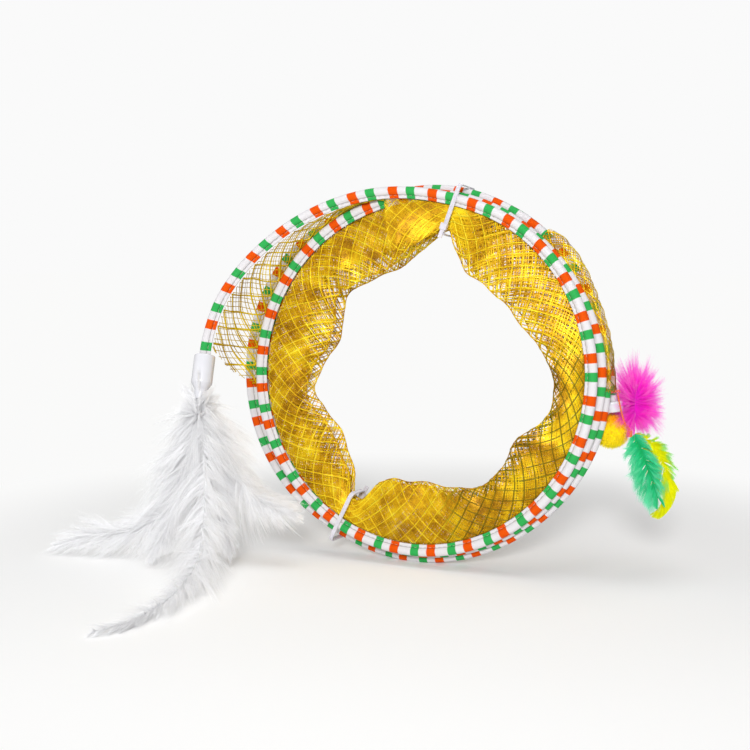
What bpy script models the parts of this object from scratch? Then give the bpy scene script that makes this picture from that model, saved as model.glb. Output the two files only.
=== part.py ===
"""Collapsible spiral cat tunnel, folded flat and held by two cable ties.

One spring wire runs in a striped cloth binding for three and a half turns. Gold netting is sewn
to the binding from each turn to the next and hangs in folds inside the ring. The front end of
the wire carries a plastic socket with white plumes, the rear end a socket with a dangling toy.

Metres, +Z up. The ring stands on edge with its front towards -Y, and the origin lies on the
small flat under the binding that it stands on.
"""

import math

import bmesh
import bpy
import numpy as np
from mathutils import Matrix, Vector

# Clearances between pieces that touch or are sewn together.
GAP = 0.0003
FULL_TURN = 2 * math.pi

# Coil: the path of the binding's middle, counted in turns from the top of the front turn.
RING_RADIUS = 0.115
TURN_PITCH = 0.007
COIL_LEAN = math.radians(3.7)
POINTS_PER_TURN = 30
FRONT_END_TURN = -0.245
REAR_END_TURN = 3.2712
FRONT_FREE_TURN = -0.02
REAR_FREE_TURN = 3.05
FRONT_FLARE = 0.0363
REAR_FLARE = 0.0036
FLARE_POWER = 1.6
# (turn, radius as a share of RING_RADIUS): the loose turns behind the front one stand wider.
TURN_RADIUS_SHARES = (
    (-0.3, 1.108),
    (-0.245, 1.171),
    (-0.22, 1.190),
    (-0.19, 1.193),
    (-0.125, 1.130),
    (-0.06, 1.067),
    (0.02, 1.003),
    (0.1, 1.000),
    (0.93, 1.000),
    (1, 1.010),
    (1.06, 1.013),
    (1.11, 1.007),
    (1.17, 1.016),
    (1.23, 1.033),
    (1.28, 1.029),
    (1.34, 1.019),
    (1.45, 1.015),
    (1.6, 1.018),
    (1.9, 1.020),
    (2.02, 1.044),
    (2.09, 1.042),
    (2.24, 1.046),
    (2.3, 1.050),
    (2.38, 1.041),
    (2.44, 1.046),
    (2.5, 1.058),
    (2.585, 1.072),
    (2.64, 1.108),
    (2.7, 1.132),
    (2.75, 1.137),
    (2.8, 1.131),
    (2.845, 1.118),
    (2.88, 1.088),
    (2.92, 1.061),
    (3, 1.046),
    (3.1, 1.038),
    (3.18, 1.027),
    (3.22, 1.031),
    (3.25, 1.050),
    (3.28, 1.098),
)

# Spring wire and the folded, sewn binding round it.
WIRE_DIAMETER = 0.0012
WIRE_BEYOND_BINDING = 0.001
BEAD_DIAMETER = 0.0058
BINDING_WIDTH = 0.0078
FLANGE_THICKNESS = 0.0013
BEAD_SIDES = 8
FOOT_CUT = 0.0005

# Netting.
NET_THICKNESS = 0.0004
NET_EDGE_BESIDE_FLANGE = 0.0011
NET_POINTS_PER_SPAN = 2
FOLD_SPREAD = 0.007
FOLD_FAN = 0.0035
FOLD_LOOP = 0.0024
WRINKLE_DEPTH = 0.0012
WRINKLES_PER_TURN = 11
TIED_TURNS = 0.06
BESIDE_TIE_TURNS = 0.008
# (place round the ring in turns, radius of the inner fold as a share of RING_RADIUS)
FOLD_RADIUS_SHARES = (
    (0.042, 0.830),
    (0.0575, 0.680),
    (0.074, 0.641),
    (0.118, 0.638),
    (0.161, 0.658),
    (0.192, 0.690),
    (0.231, 0.754),
    (0.267, 0.791),
    (0.281, 0.791),
    (0.322, 0.706),
    (0.342, 0.684),
    (0.375, 0.721),
    (0.422, 0.711),
    (0.456, 0.653),
    (0.483, 0.611),
    (0.519, 0.617),
    (0.550, 0.664),
    (0.566, 0.820),
    (0.584, 0.820),
    (0.598, 0.690),
    (0.619, 0.627),
    (0.661, 0.577),
    (0.694, 0.624),
    (0.722, 0.657),
    (0.747, 0.630),
    (0.789, 0.550),
    (0.825, 0.549),
    (0.858, 0.614),
    (0.883, 0.623),
    (0.928, 0.600),
    (0.967, 0.607),
    (1.004, 0.679),
    (1.024, 0.830),
)
# The turns between which each of the four lengths of netting runs.
FRONT_SAIL_TURNS = (-8 / POINTS_PER_TURN, -0.034)
FRONT_SAIL_START_TURN = -0.234
FRONT_FOLD_TURNS = (-0.034, 1.0)
BACK_FOLD_TURNS = (1.0, 2.075)
REAR_SAIL_TURNS = (2.085, 2.25)
SAIL_BELLY = 0.004
REAR_SAIL_BULGE = 0.0008
SAIL_FROM_BEAD = 0.0010

# Cable ties.
TIE_WIDTH = 0.0023
TIE_THICKNESS = 0.0009
TIE_CORNER = 0.004
TIE_HEAD = 0.0046
TIE_HEAD_DEPTH = 0.0034
TIE_TAIL = 0.007
TIE_INNER_SHARE = 0.80
TOP_TIE_TURN = 1 / 30
LOWER_TIE_TURN = 0.575
TOP_TIE_SLANT = math.radians(3)
LOWER_TIE_SLANT = math.radians(-2)

# Front socket and plumes.
SOCKET_DIAMETER = 0.0139
SOCKET_LENGTH = 0.0186
SOCKET_TAPER = 0.0044
SOCKET_BORE = 0.0096
SOCKET_BORE_DEPTH = 0.010
SOCKET_EDGE = 0.0006
NECK_DIAMETER = 0.0082
NECK_LENGTH = 0.0068
NECK_BORE = 0.0064
NECK_BORE_DEPTH = 0.009
BINDING_IN_SOCKET = 0.004
QUILL = 0.0009
QUILL_IN_NECK = 0.007
QUILL_STEP = 0.0011
PLUME_THICKNESS = 0.0008
PLUME_LENGTH = 0.224
PLUME_HALF_WIDTH = 0.015
PLUME_STATIONS = 22

# Rear socket and the toy on its cord.
REAR_SOCKET_DIAMETER = 0.0135
REAR_SOCKET_LENGTH = 0.0067
REAR_SOCKET_BORE_DEPTH = 0.0054
BALL_DIAMETER = 0.022
BALL_BESIDE_SOCKET = -0.0015
BALL_BEHIND_SOCKET = 0.0033
BALL_BELOW_SOCKET = 0.00137
CORD_DIAMETER = 0.0012
CORD_LOOP_RADIUS = 0.0055
CORD_LOOP_ABOVE_END = 0.009
FEATHER_BINDING_DIAMETER = 0.0034
FEATHER_BINDING_LENGTH = 0.0045
FEATHER_THICKNESS = 0.0008
FEATHER_LENGTH = 0.064
FEATHER_HALF_WIDTH = 0.0125
FEATHER_STATIONS = 14
CORD_STATIONS = 16


def eased(table, at):
    """A smooth curve through a table of (place, value), read at one place."""
    places = [row[0] for row in table]
    values = [row[1] for row in table]
    if at <= places[0]:
        return values[0]
    if at >= places[-1]:
        return values[-1]
    i = max(k for k in range(len(places) - 1) if places[k] <= at)

    def slope(k):
        k0 = max(k - 1, 0)
        k1 = min(k + 1, len(places) - 1)
        return (values[k1] - values[k0]) / (places[k1] - places[k0])

    span = places[i + 1] - places[i]
    t = (at - places[i]) / span
    rise = values[i + 1] - values[i]
    a = slope(i) * span - rise
    b = rise - slope(i + 1) * span
    return values[i] + t * rise + t * (1 - t) * ((1 - t) * a + t * b)


def smooth_step(low, high, at):
    t = min(max((at - low) / (high - low), 0.0), 1.0)
    return t * t * (3 - 2 * t)


def coil_radius(turn):
    return RING_RADIUS * eased(TURN_RADIUS_SHARES, turn)


def coil_depth(turn):
    """How far behind the top of the front turn the coil lies; both loose ends spring out."""
    front = max(0.0, (FRONT_FREE_TURN - turn) / (FRONT_FREE_TURN - FRONT_END_TURN))
    rear = max(0.0, (turn - REAR_FREE_TURN) / (REAR_END_TURN - REAR_FREE_TURN))
    return TURN_PITCH * turn - FRONT_FLARE * front**FLARE_POWER + REAR_FLARE * rear**FLARE_POWER


def round_ring(turn, radius, depth):
    """A point in the coil's own frame: X right, -Y up the ring, Z back along its axis."""
    angle = FULL_TURN * turn
    return Vector((radius * math.sin(angle), -radius * math.cos(angle), depth))


def coil_point(turn, outward=0.0, back=0.0):
    return round_ring(turn, coil_radius(turn) + outward, coil_depth(turn) + back)


def laid_radius(turn):
    """The radius on the straight run between two points of the binding's path."""
    before = math.floor(turn * POINTS_PER_TURN + GAP) / POINTS_PER_TURN
    after = before + 1 / POINTS_PER_TURN
    start = round_ring(before, coil_radius(before), 0.0)
    end = round_ring(after, coil_radius(after), 0.0)
    return start.lerp(end, (turn - before) * POINTS_PER_TURN).length


def turns_between(first, last, per_turn):
    """Places along the coil that fall on the same angles in every turn, with both ends."""
    step = 1 / per_turn
    inner = [k / per_turn for k in range(math.ceil(first / step), math.floor(last / step) + 1)]
    inner = [turn for turn in inner if first + step / 3 < turn < last - step / 3]
    return [first, *inner, last]


def collection(name):
    made = bpy.data.collections.new(name)
    bpy.context.scene.collection.children.link(made)
    return made


def material(name, colour, roughness, metallic=0.0, alpha=1.0):
    made = bpy.data.materials.new(name)
    made.use_nodes = True
    shader = made.node_tree.nodes["Principled BSDF"]
    shader.inputs["Base Color"].default_value = (*colour, 1.0)
    shader.inputs["Roughness"].default_value = roughness
    shader.inputs["Metallic"].default_value = metallic
    shader.inputs["Alpha"].default_value = alpha
    return made


def add_object(name, data, look, parent=None):
    made = bpy.data.objects.new(name, data)
    PARTS.objects.link(made)
    made.parent = parent
    data.materials.clear()
    data.materials.append(look)
    return made


def add_cutter(name, data, parent=None):
    made = bpy.data.objects.new(name, data)
    CUTTERS.objects.link(made)
    made.parent = parent
    made.hide_render = True
    made.display_type = "WIRE"
    return made


def boolean(target, other, operation):
    modifier = target.modifiers.new(operation.lower(), "BOOLEAN")
    modifier.operation = operation
    modifier.object = other
    modifier.solver = "EXACT"


def poly_curve(name, points):
    data = bpy.data.curves.new(name, "CURVE")
    data.dimensions = "3D"
    line = data.splines.new("POLY")
    line.points.add(len(points) - 1)
    for spot, point in zip(line.points, points):
        spot.co = (*point, 1.0)
    return data


def tube(name, points, diameter, resolution):
    data = poly_curve(name, points)
    data.bevel_depth = diameter / 2
    data.bevel_resolution = resolution
    data.use_fill_caps = True
    return data


def as_mesh(data, weld):
    """The evaluated mesh of a curve, with its caps joined on."""
    made = bpy.data.objects.new("sweep", data)
    CUTTERS.objects.link(made)
    bpy.context.view_layer.update()
    evaluated = made.evaluated_get(bpy.context.evaluated_depsgraph_get())
    mesh = bpy.data.meshes.new_from_object(evaluated)
    bpy.data.objects.remove(made)
    shape = bmesh.new()
    shape.from_mesh(mesh)
    bmesh.ops.remove_doubles(shape, verts=shape.verts, dist=weld)
    bmesh.ops.recalc_face_normals(shape, faces=shape.faces)
    shape.to_mesh(mesh)
    shape.free()
    mesh.shade_smooth()
    mesh.set_sharp_from_angle(angle=math.radians(40))
    return mesh


def grid_mesh(name, rows):
    """An open surface through rows of points, as a cloth is laid."""
    shape = bmesh.new()
    laid = [[shape.verts.new(point) for point in row] for row in rows]
    for upper, lower in zip(laid, laid[1:]):
        for k in range(len(upper) - 1):
            shape.faces.new((upper[k], upper[k + 1], lower[k + 1], lower[k]))
    mesh = bpy.data.meshes.new(name)
    shape.to_mesh(mesh)
    shape.free()
    mesh.shade_smooth()
    return mesh


def add_cloth(name, rows, thickness, look, parent=None):
    made = add_object(name, grid_mesh(name, rows), look, parent)
    wall = made.modifiers.new("thickness", "SOLIDIFY")
    wall.thickness = thickness
    wall.offset = 0.0
    wall.use_even_offset = False
    return made


def turned(name, profile, steps, look, matrix):
    """A turned piece from a profile that runs down its outer side."""
    shape = bmesh.new()
    spots = [shape.verts.new((radius, 0.0, height)) for radius, height in profile]
    for upper, lower in zip(spots, spots[1:]):
        shape.edges.new((upper, lower))
    mesh = bpy.data.meshes.new(name)
    shape.to_mesh(mesh)
    shape.free()
    made = add_object(name, mesh, look)
    made.matrix_world = matrix
    spin = made.modifiers.new("turned", "SCREW")
    spin.steps = steps
    spin.render_steps = steps
    spin.use_merge_vertices = True
    spin.merge_threshold = GAP / 10
    spin.use_smooth_shade = True
    return made


def standing_on(point, direction, towards=Vector((0, -1, 0))):
    """A frame at a point whose Z runs against the direction that a piece hangs in."""
    up = -direction.normalized()
    across = up.cross(towards).normalized()
    front = across.cross(up)
    columns = Matrix((across, -front, up)).transposed()
    return Matrix.Translation(point) @ columns.to_4x4()


def spine_points(table, length, start, count):
    """A smooth spine from its start: the table's places are shares of the feather's length."""
    knots = [start + length * Vector(row) for row in table]
    along = [0.0]
    for before, after in zip(knots, knots[1:]):
        along.append(along[-1] + (after - before).length)
    tracks = [[(a / along[-1], knot[axis]) for a, knot in zip(along, knots)] for axis in range(3)]
    return [Vector([eased(track, k / count) for track in tracks]) for k in range(count + 1)]


def feather_rows(spine, half_width, facing):
    """Edge, middle and edge of a feather's vane, square to its spine."""
    rows = []
    for k, point in enumerate(spine):
        ahead = spine[min(k + 1, len(spine) - 1)] - spine[max(k - 1, 0)]
        across = ahead.cross(facing).normalized()
        share = k / (len(spine) - 1)
        reach = half_width(share, k)
        rows.append([point - reach * across, point, point + reach * across])
    return rows


def vane(widest, fluff_start, tip_share=0.04):
    """Half the width of a plume: a bare quill, then a full vane with ragged edges to a fine tip."""

    def half_width(share, k):
        swell = smooth_step(fluff_start, fluff_start + 0.28, share)
        fade = (1 - smooth_step(0.55, 1.0, share)) * (1 - tip_share) + tip_share
        ragged = 1.0 if k % 2 else 0.78
        return QUILL / 2 + (widest - QUILL / 2) * swell * fade * ragged

    return half_width


for old in list(bpy.data.objects):
    bpy.data.objects.remove(old)

PARTS = collection("cat_tunnel")
CUTTERS = collection("cutters")

# Spring wire in its binding, and the empty that stands the coil up, leaning back a little.
STRIP_HALF = BINDING_WIDTH / 2
BEAD_RADIUS = BEAD_DIAMETER / 2
BEAD_OUT = STRIP_HALF - BEAD_RADIUS


def stand_up(centre):
    """The coil's frame in the world: its axis runs back, its top tips back by the lean."""
    return Matrix.Translation(centre) @ Matrix.Rotation(-math.pi / 2 - COIL_LEAN, 4, "X")


def lowest_bead_point():
    """The point under the loose third turn that meets the floor, before the coil is placed."""
    tipped = stand_up(Vector((0, 0, 0)))
    third = [2 + k / POINTS_PER_TURN for k in range(POINTS_PER_TURN)]
    return min((tipped @ coil_point(turn, STRIP_HALF) for turn in third), key=lambda p: p.z)


FOOT = lowest_bead_point()
COIL_CENTRE = Vector((-FOOT.x, -FOOT.y, -FOOT.z - FOOT_CUT))
COIL_FRAME = stand_up(COIL_CENTRE)
coil_axis = bpy.data.objects.new("coil_axis", None)
PARTS.objects.link(coil_axis)
coil_axis.matrix_world = COIL_FRAME

STEEL = material("spring_steel", (0.55, 0.56, 0.58), 0.35, 1.0)
CLOTH = material("binding_cloth", (0.88, 0.86, 0.85), 0.85)
GOLD = material("gold_netting", (0.70, 0.40, 0.02), 0.40)
NYLON = material("tie_nylon", (0.85, 0.86, 0.88), 0.35, 0.0, 0.9)
PLASTIC = material("socket_plastic", (0.90, 0.90, 0.91), 0.30)
PLUME = material("white_plume", (0.90, 0.90, 0.94), 0.90)
ORANGE = material("orange_cord", (0.90, 0.20, 0.02), 0.70)
PLUSH = material("yellow_plush", (0.90, 0.62, 0.02), 0.95)
PINK = material("pink_feather", (0.90, 0.02, 0.35), 0.90)
GREEN = material("green_feather", (0.02, 0.45, 0.10), 0.90)
YELLOW = material("yellow_feather", (0.85, 0.80, 0.02), 0.90)


def wire_places():
    """The wire runs on past both ends of the binding, into the sockets."""
    beyond = WIRE_BEYOND_BINDING / (FULL_TURN * RING_RADIUS)
    return turns_between(FRONT_END_TURN - beyond, REAR_END_TURN + beyond, POINTS_PER_TURN)


def add_wire():
    points = [coil_point(turn, BEAD_OUT) for turn in wire_places()]
    add_object("spring_wire", tube("spring_wire", points, WIRE_DIAMETER, 1), STEEL, coil_axis)


def binding_section():
    """The binding folded over the wire: a round bead and the sewn flange on its inner side."""
    flange_angle = math.asin(FLANGE_THICKNESS / BEAD_DIAMETER)
    first = math.pi + flange_angle
    last = math.pi - flange_angle + FULL_TURN
    arc = [first + (last - first) * k / BEAD_SIDES for k in range(BEAD_SIDES + 1)]
    bead = [(BEAD_OUT + BEAD_RADIUS * math.cos(a), BEAD_RADIUS * math.sin(a)) for a in arc]
    half = FLANGE_THICKNESS / 2
    corners = [*bead, (-STRIP_HALF, half), (-STRIP_HALF, -half)]
    data = poly_curve("binding_section", [(out, back, 0.0) for out, back in corners])
    data.splines[0].use_cyclic_u = True
    made = bpy.data.objects.new("binding_section", data)
    CUTTERS.objects.link(made)
    return made


def add_binding():
    """One unbroken length of binding with the wire's bore through it and a flat where it stands."""
    places = turns_between(FRONT_END_TURN, REAR_END_TURN, POINTS_PER_TURN)
    data = poly_curve("binding_tape", [coil_point(turn) for turn in places])
    section = binding_section()
    data.twist_mode = "Z_UP"
    data.bevel_mode = "OBJECT"
    data.bevel_object = section
    data.use_fill_caps = True
    mesh = as_mesh(data, GAP / 10)
    bpy.data.objects.remove(section)
    binding = add_object("binding_tape", mesh, CLOTH, coil_axis)
    past = WIRE_BEYOND_BINDING / (2 * FULL_TURN * RING_RADIUS)
    bore_places = [FRONT_END_TURN - past, *places[1:-1], REAR_END_TURN + past]
    bore_line = [coil_point(turn, BEAD_OUT) for turn in bore_places]
    bore = as_mesh(tube("wire_bore", bore_line, WIRE_DIAMETER + 2 * GAP, 1), GAP / 10)
    boolean(binding, add_cutter("wire_bore", bore, coil_axis), "DIFFERENCE")
    bpy.ops.mesh.primitive_cube_add(size=1)
    block = bpy.context.object
    block.data.transform(Matrix.Diagonal((RING_RADIUS, RING_RADIUS, BINDING_WIDTH, 1.0)))
    floor = add_cutter("floor_cut", block.data)
    bpy.data.objects.remove(block)
    floor.location = (0, 0, -BINDING_WIDTH / 2)
    boolean(binding, floor, "DIFFERENCE")
    mesh.shade_smooth()
    mesh.set_sharp_from_angle(angle=math.radians(50))


def least_gap_to_itself():
    """The nearest that any two turns of the binding come, measured on points of its middle."""
    step = 1 / (4 * POINTS_PER_TURN)
    count = int((REAR_END_TURN - FRONT_END_TURN) / step)
    turns = [FRONT_END_TURN + k * step for k in range(count + 1)]
    spots = np.array([coil_point(turn, BEAD_OUT) for turn in turns])
    best = math.inf
    apart = int(0.5 / step)
    for k in range(len(spots) - apart):
        off = np.linalg.norm(spots[k + apart :] - spots[k], axis=1)
        best = min(best, float(off.min()))
    return best - BEAD_DIAMETER


# Netting, one strip sewn from each turn to the next. It is laid in four lengths that meet where
# the top tie gathers it: an open sail in front, two deep folds, and a sail behind.
FLANGE_EDGE = STRIP_HALF + GAP + NET_THICKNESS / 2


def gathered(turn):
    """From 0 at a cable tie to 1 away from it."""
    around = (turn - TOP_TIE_TURN) % 1.0
    lower = LOWER_TIE_TURN - TOP_TIE_TURN
    near = min(around, 1 - around, abs(around - lower))
    return smooth_step(BESIDE_TIE_TURNS, TIED_TURNS, near)


def fold_radius(turn):
    around = TOP_TIE_TURN + BESIDE_TIE_TURNS
    around += (turn - around) % 1.0
    return RING_RADIUS * eased(FOLD_RADIUS_SHARES, around)


def net_section(turn):
    """From the flange in front, in to the fold and out to the flange one turn behind."""
    first = laid_radius(turn) - FLANGE_EDGE
    last = laid_radius(turn + 1) - FLANGE_EDGE
    front = coil_depth(turn) + NET_EDGE_BESIDE_FLANGE
    rear = coil_depth(turn + 1) - NET_EDGE_BESIDE_FLANGE
    middle = (front + rear) / 2
    open_here = gathered(turn)
    inner = fold_radius(turn)
    shift = FOLD_SPREAD * open_here * (turn - 1)
    shift += WRINKLE_DEPTH * open_here * math.sin(FULL_TURN * WRINKLES_PER_TURN * turn)
    loop = FOLD_LOOP * open_here + 2 * NET_THICKNESS * (1 - open_here)
    return [
        (first, front),
        (0.65 * first + 0.35 * inner, front + 0.4 * (shift - FOLD_FAN * open_here)),
        (0.30 * first + 0.70 * inner, middle + 0.8 * shift - loop),
        (inner, middle + shift),
        (0.30 * last + 0.70 * inner, middle + 0.8 * shift + loop),
        (0.65 * last + 0.35 * inner, rear + 0.4 * (shift + FOLD_FAN * open_here)),
        (last, rear),
    ]


def smooth_section(section, per_span):
    """More points along a section, on a smooth curve through the ones given."""
    tracks = [[(float(k), point[axis]) for k, point in enumerate(section)] for axis in (0, 1)]
    steps = (len(section) - 1) * per_span
    places = [k / per_span for k in range(steps + 1)]
    return [(eased(tracks[0], at), eased(tracks[1], at)) for at in places]


def net_columns(between):
    """Columns of netting on the binding's points and beside the ties, a gap short of the end."""
    first, last = between
    places = turns_between(first, last, POINTS_PER_TURN)
    for tie in (TOP_TIE_TURN, LOWER_TIE_TURN):
        for lap in range(math.floor(first), math.ceil(last)):
            places += [tie + lap - BESIDE_TIE_TURNS, tie + lap + BESIDE_TIE_TURNS]
    places = sorted({place for place in places if first <= place <= last})
    places[-1] -= GAP / (RING_RADIUS * FULL_TURN)
    return places


def add_net(name, between, section_at):
    rows = []
    for turn in net_columns(between):
        section = smooth_section(section_at(turn), NET_POINTS_PER_SPAN)
        rows.append([round_ring(turn, radius, depth) for radius, depth in section])
    add_cloth(name, rows, NET_THICKNESS, GOLD, coil_axis)


# Netting passes this far from the middle of a bead that it wraps.
ROUND_BEAD = BEAD_RADIUS + SAIL_FROM_BEAD + NET_THICKNESS / 2


def round_bead(turn, degrees):
    """A point on the netting's way round the outside of a bead, counted from outward to back."""
    angle = math.radians(degrees)
    radius = laid_radius(turn) + BEAD_OUT + ROUND_BEAD * math.cos(angle)
    return (radius, coil_depth(turn) + ROUND_BEAD * math.sin(angle))


def add_front_sail():
    """Open netting from the sprung front end, round the front turn's outside to its back."""
    first, last = FRONT_SAIL_TURNS
    rows = []
    for turn in net_columns(FRONT_SAIL_TURNS):
        cut = (last - turn) / (last - first)
        lead = last + (FRONT_SAIL_START_TURN - last) * cut
        start = (laid_radius(lead) - FLANGE_EDGE, coil_depth(lead) + NET_EDGE_BESIDE_FLANGE)
        wrap = [round_bead(turn + 1, degrees) for degrees in (-20, 25, 70, 110)]
        middle = [(start[k] + wrap[0][k]) / 2 for k in (0, 1)]
        middle[0] += SAIL_BELLY * cut
        section = [start, middle, *wrap]
        row = []
        for k, (radius, depth) in enumerate(smooth_section(section, NET_POINTS_PER_SPAN)):
            across = min(k / (2 * NET_POINTS_PER_SPAN), 1.0)
            row.append(round_ring(lead + (turn - lead) * across, radius, depth))
        rows.append(row)
    add_cloth("net_front_sail", rows, NET_THICKNESS, GOLD, coil_axis)


def rear_sail_section(turn):
    """Netting that slips out between two turns and lies over the next one's outside to its back."""
    first, last = REAR_SAIL_TURNS
    bulge = REAR_SAIL_BULGE * smooth_step(first, (first + last) / 2, turn)
    lead = laid_radius(turn)
    tail = laid_radius(turn + 1)
    between = (coil_depth(turn - 1) + coil_depth(turn)) / 2
    rear = coil_depth(turn + 1)
    outside = max(lead, tail) + STRIP_HALF + SAIL_FROM_BEAD + NET_THICKNESS / 2
    return [
        (lead - BEAD_OUT, between),
        (lead + BEAD_OUT, between),
        (outside, between),
        (outside + bulge, rear),
        round_bead(turn + 1, 60),
        round_bead(turn + 1, 110),
    ]


# Cable ties: a flat strap drawn round every turn and the gathered net, its head and cut tail.
def rounded_loop(low, high, left, right, corner, per_corner=3):
    centres = ((right, high, 0), (left, high, 1), (left, low, 2), (right, low, 3))
    points = []
    for x, y, quarter in centres:
        cx = x - corner if x == right else x + corner
        cy = y - corner if y == high else y + corner
        for k in range(per_corner + 1):
            angle = (quarter + k / per_corner) * math.pi / 2
            points.append((cx + corner * math.cos(angle), cy + corner * math.sin(angle)))
    return points


def add_tie(name, turn, strands, slant, head_in_front):
    """One moulded nylon tie. Its loop is drawn in the plane of the coil's axis and a radius."""
    places = [turn + k for k in range(strands)]
    outer = max(coil_radius(place) for place in places) + STRIP_HALF + GAP
    inner = RING_RADIUS * TIE_INNER_SHARE
    front = coil_depth(places[0]) - BEAD_RADIUS - GAP
    rear = coil_depth(places[-1]) + BEAD_RADIUS + GAP
    wall = TIE_THICKNESS
    data = bpy.data.curves.new(name, "CURVE")
    data.dimensions = "2D"
    data.fill_mode = "BOTH"
    data.extrude = TIE_WIDTH / 2
    loops = (
        rounded_loop(front - wall, rear + wall, inner - wall, outer + wall, TIE_CORNER),
        rounded_loop(front, rear, inner, outer, TIE_CORNER - wall),
    )
    for loop in loops:
        line = data.splines.new("POLY")
        line.points.add(len(loop) - 1)
        line.use_cyclic_u = True
        for spot, (radius, depth) in zip(line.points, loop):
            spot.co = (radius, depth, 0.0, 1.0)
    strap = add_object(name, as_mesh(data, GAP / 10), NYLON, coil_axis)
    outward = round_ring(turn, 1.0, 0.0)
    along = Vector((0, 0, 1)).cross(outward)
    frame = Matrix((outward, (0, 0, 1), -along)).transposed().to_4x4()
    tilt_at = Matrix.Translation(outward * outer)
    tilt = tilt_at @ Matrix.Rotation(slant, 4, "Z") @ tilt_at.inverted()
    strap.matrix_local = tilt @ frame
    face = front - wall if head_in_front else rear + wall
    side = -1 if head_in_front else 1
    head_place = inner + TIE_HEAD
    for label, size, spot in (
        ("head", (TIE_HEAD, TIE_HEAD_DEPTH, TIE_HEAD), (head_place, face + side * TIE_HEAD_DEPTH / 3, 0)),
        (
            "tail",
            (TIE_TAIL, TIE_THICKNESS, TIE_WIDTH),
            (head_place - TIE_TAIL / 2, face + side * TIE_HEAD_DEPTH / 2, 0),
        ),
    ):
        bpy.ops.mesh.primitive_cube_add(size=1)
        block = bpy.context.object
        block.data.transform(Matrix.Diagonal((*size, 1.0)))
        shape = add_cutter(f"{name}_{label}", block.data, coil_axis)
        bpy.data.objects.remove(block)
        shape.matrix_local = tilt @ frame @ Matrix.Translation(spot)
        boolean(strap, shape, "UNION")


# Front socket, moulded white plastic, pushed over the end of the binding.
def end_direction(turn, step):
    """The way the wire points where it leaves the binding, in the world."""
    here = COIL_FRAME @ coil_point(turn, BEAD_OUT)
    inside = COIL_FRAME @ coil_point(turn + step, BEAD_OUT)
    return (here - inside).normalized()


BINDING_END_STEP = 0.01
front_end = COIL_FRAME @ coil_point(FRONT_END_TURN)
front_way = end_direction(FRONT_END_TURN, BINDING_END_STEP)
SOCKET_TOP = front_end - BINDING_IN_SOCKET * front_way
NECK_END = SOCKET_TOP + (SOCKET_LENGTH + SOCKET_TAPER + NECK_LENGTH) * front_way


def add_front_socket():
    outer = SOCKET_DIAMETER / 2
    bore = SOCKET_BORE / 2
    neck = NECK_DIAMETER / 2
    hole = NECK_BORE / 2
    edge = SOCKET_EDGE
    shoulder = SOCKET_LENGTH + SOCKET_TAPER
    length = shoulder + NECK_LENGTH
    profile = [
        (0, -SOCKET_BORE_DEPTH),
        (bore, -SOCKET_BORE_DEPTH),
        (bore, 0),
        (outer - edge, 0),
        (outer, -edge),
        (outer, -SOCKET_LENGTH),
        (neck + edge, -shoulder + edge),
        (neck, -shoulder - edge),
        (neck, -length),
        (hole, -length),
        (hole, -length + NECK_BORE_DEPTH),
        (0, -length + NECK_BORE_DEPTH),
    ]
    turned("front_socket", profile, 24, PLASTIC, standing_on(SOCKET_TOP, front_way))


# White plumes, their quills glued side by side in the socket's neck. Lengths and half widths are
# shares of the longest plume's, and places along a spine are shares of its own length.
PLUME_SHARES = (
    # name, length, half width, the way its flat face looks, spine from the quill's root
    (
        "plume_front",
        1.0,
        1.0,
        (0, -0.60, 0.80),
        (
            (0, 0, 0),
            (0.028, -0.022, -0.115),
            (0.050, -0.053, -0.226),
            (0.074, -0.098, -0.321),
            (0.132, -0.243, -0.424),
            (0.179, -0.464, -0.458),
            (0.164, -0.605, -0.468),
            (0.126, -0.694, -0.472),
        ),
    ),
    (
        "plume_middle_left",
        0.487,
        0.867,
        (0, -0.97, 0.24),
        (
            (0, 0, 0),
            (-0.033, -0.036, -0.274),
            (-0.092, -0.063, -0.549),
            (-0.141, -0.137, -0.748),
            (-0.20, -0.247, -0.931),
        ),
    ),
    (
        "plume_left",
        0.734,
        0.933,
        (0, -0.97, 0.24),
        (
            (0, 0, 0),
            (-0.054, -0.020, -0.214),
            (-0.131, -0.024, -0.431),
            (-0.267, -0.048, -0.546),
            (-0.444, -0.097, -0.569),
            (-0.611, -0.145, -0.622),
        ),
    ),
    (
        "plume_middle_right",
        0.465,
        0.8,
        (0, -0.97, 0.24),
        ((0, 0, 0), (0.084, -0.008, -0.314), (0.143, -0.018, -0.627), (0.227, -0.050, -0.972)),
    ),
    (
        "plume_right",
        0.467,
        0.8,
        (0, -0.97, 0.24),
        (
            (0, 0, 0),
            (0.110, 0.022, -0.25),
            (0.177, 0.052, -0.441),
            (0.316, 0.078, -0.601),
            (0.608, 0.090, -0.70),
        ),
    ),
)
PLUME_FLUFF_START_SHARE = 0.10
PLUME_STACK_SHARES = (0, -0.97, 0.24)


def add_plumes():
    stack = Vector(PLUME_STACK_SHARES).normalized()
    root = NECK_END - QUILL_IN_NECK * front_way
    for k, (name, length_share, width_share, facing, shares) in enumerate(PLUME_SHARES):
        length = PLUME_LENGTH * length_share
        half = PLUME_HALF_WIDTH * width_share
        start = root + ((len(PLUME_SHARES) - 1) / 2 - k) * QUILL_STEP * stack
        spine = [start, start + QUILL_IN_NECK * front_way / 2]
        spine += spine_points(shares, length, start + QUILL_IN_NECK * front_way, PLUME_STATIONS)
        rows = feather_rows(spine, vane(half, PLUME_FLUFF_START_SHARE), Vector(facing).normalized())
        add_cloth(name, rows, PLUME_THICKNESS, PLUME)


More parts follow.
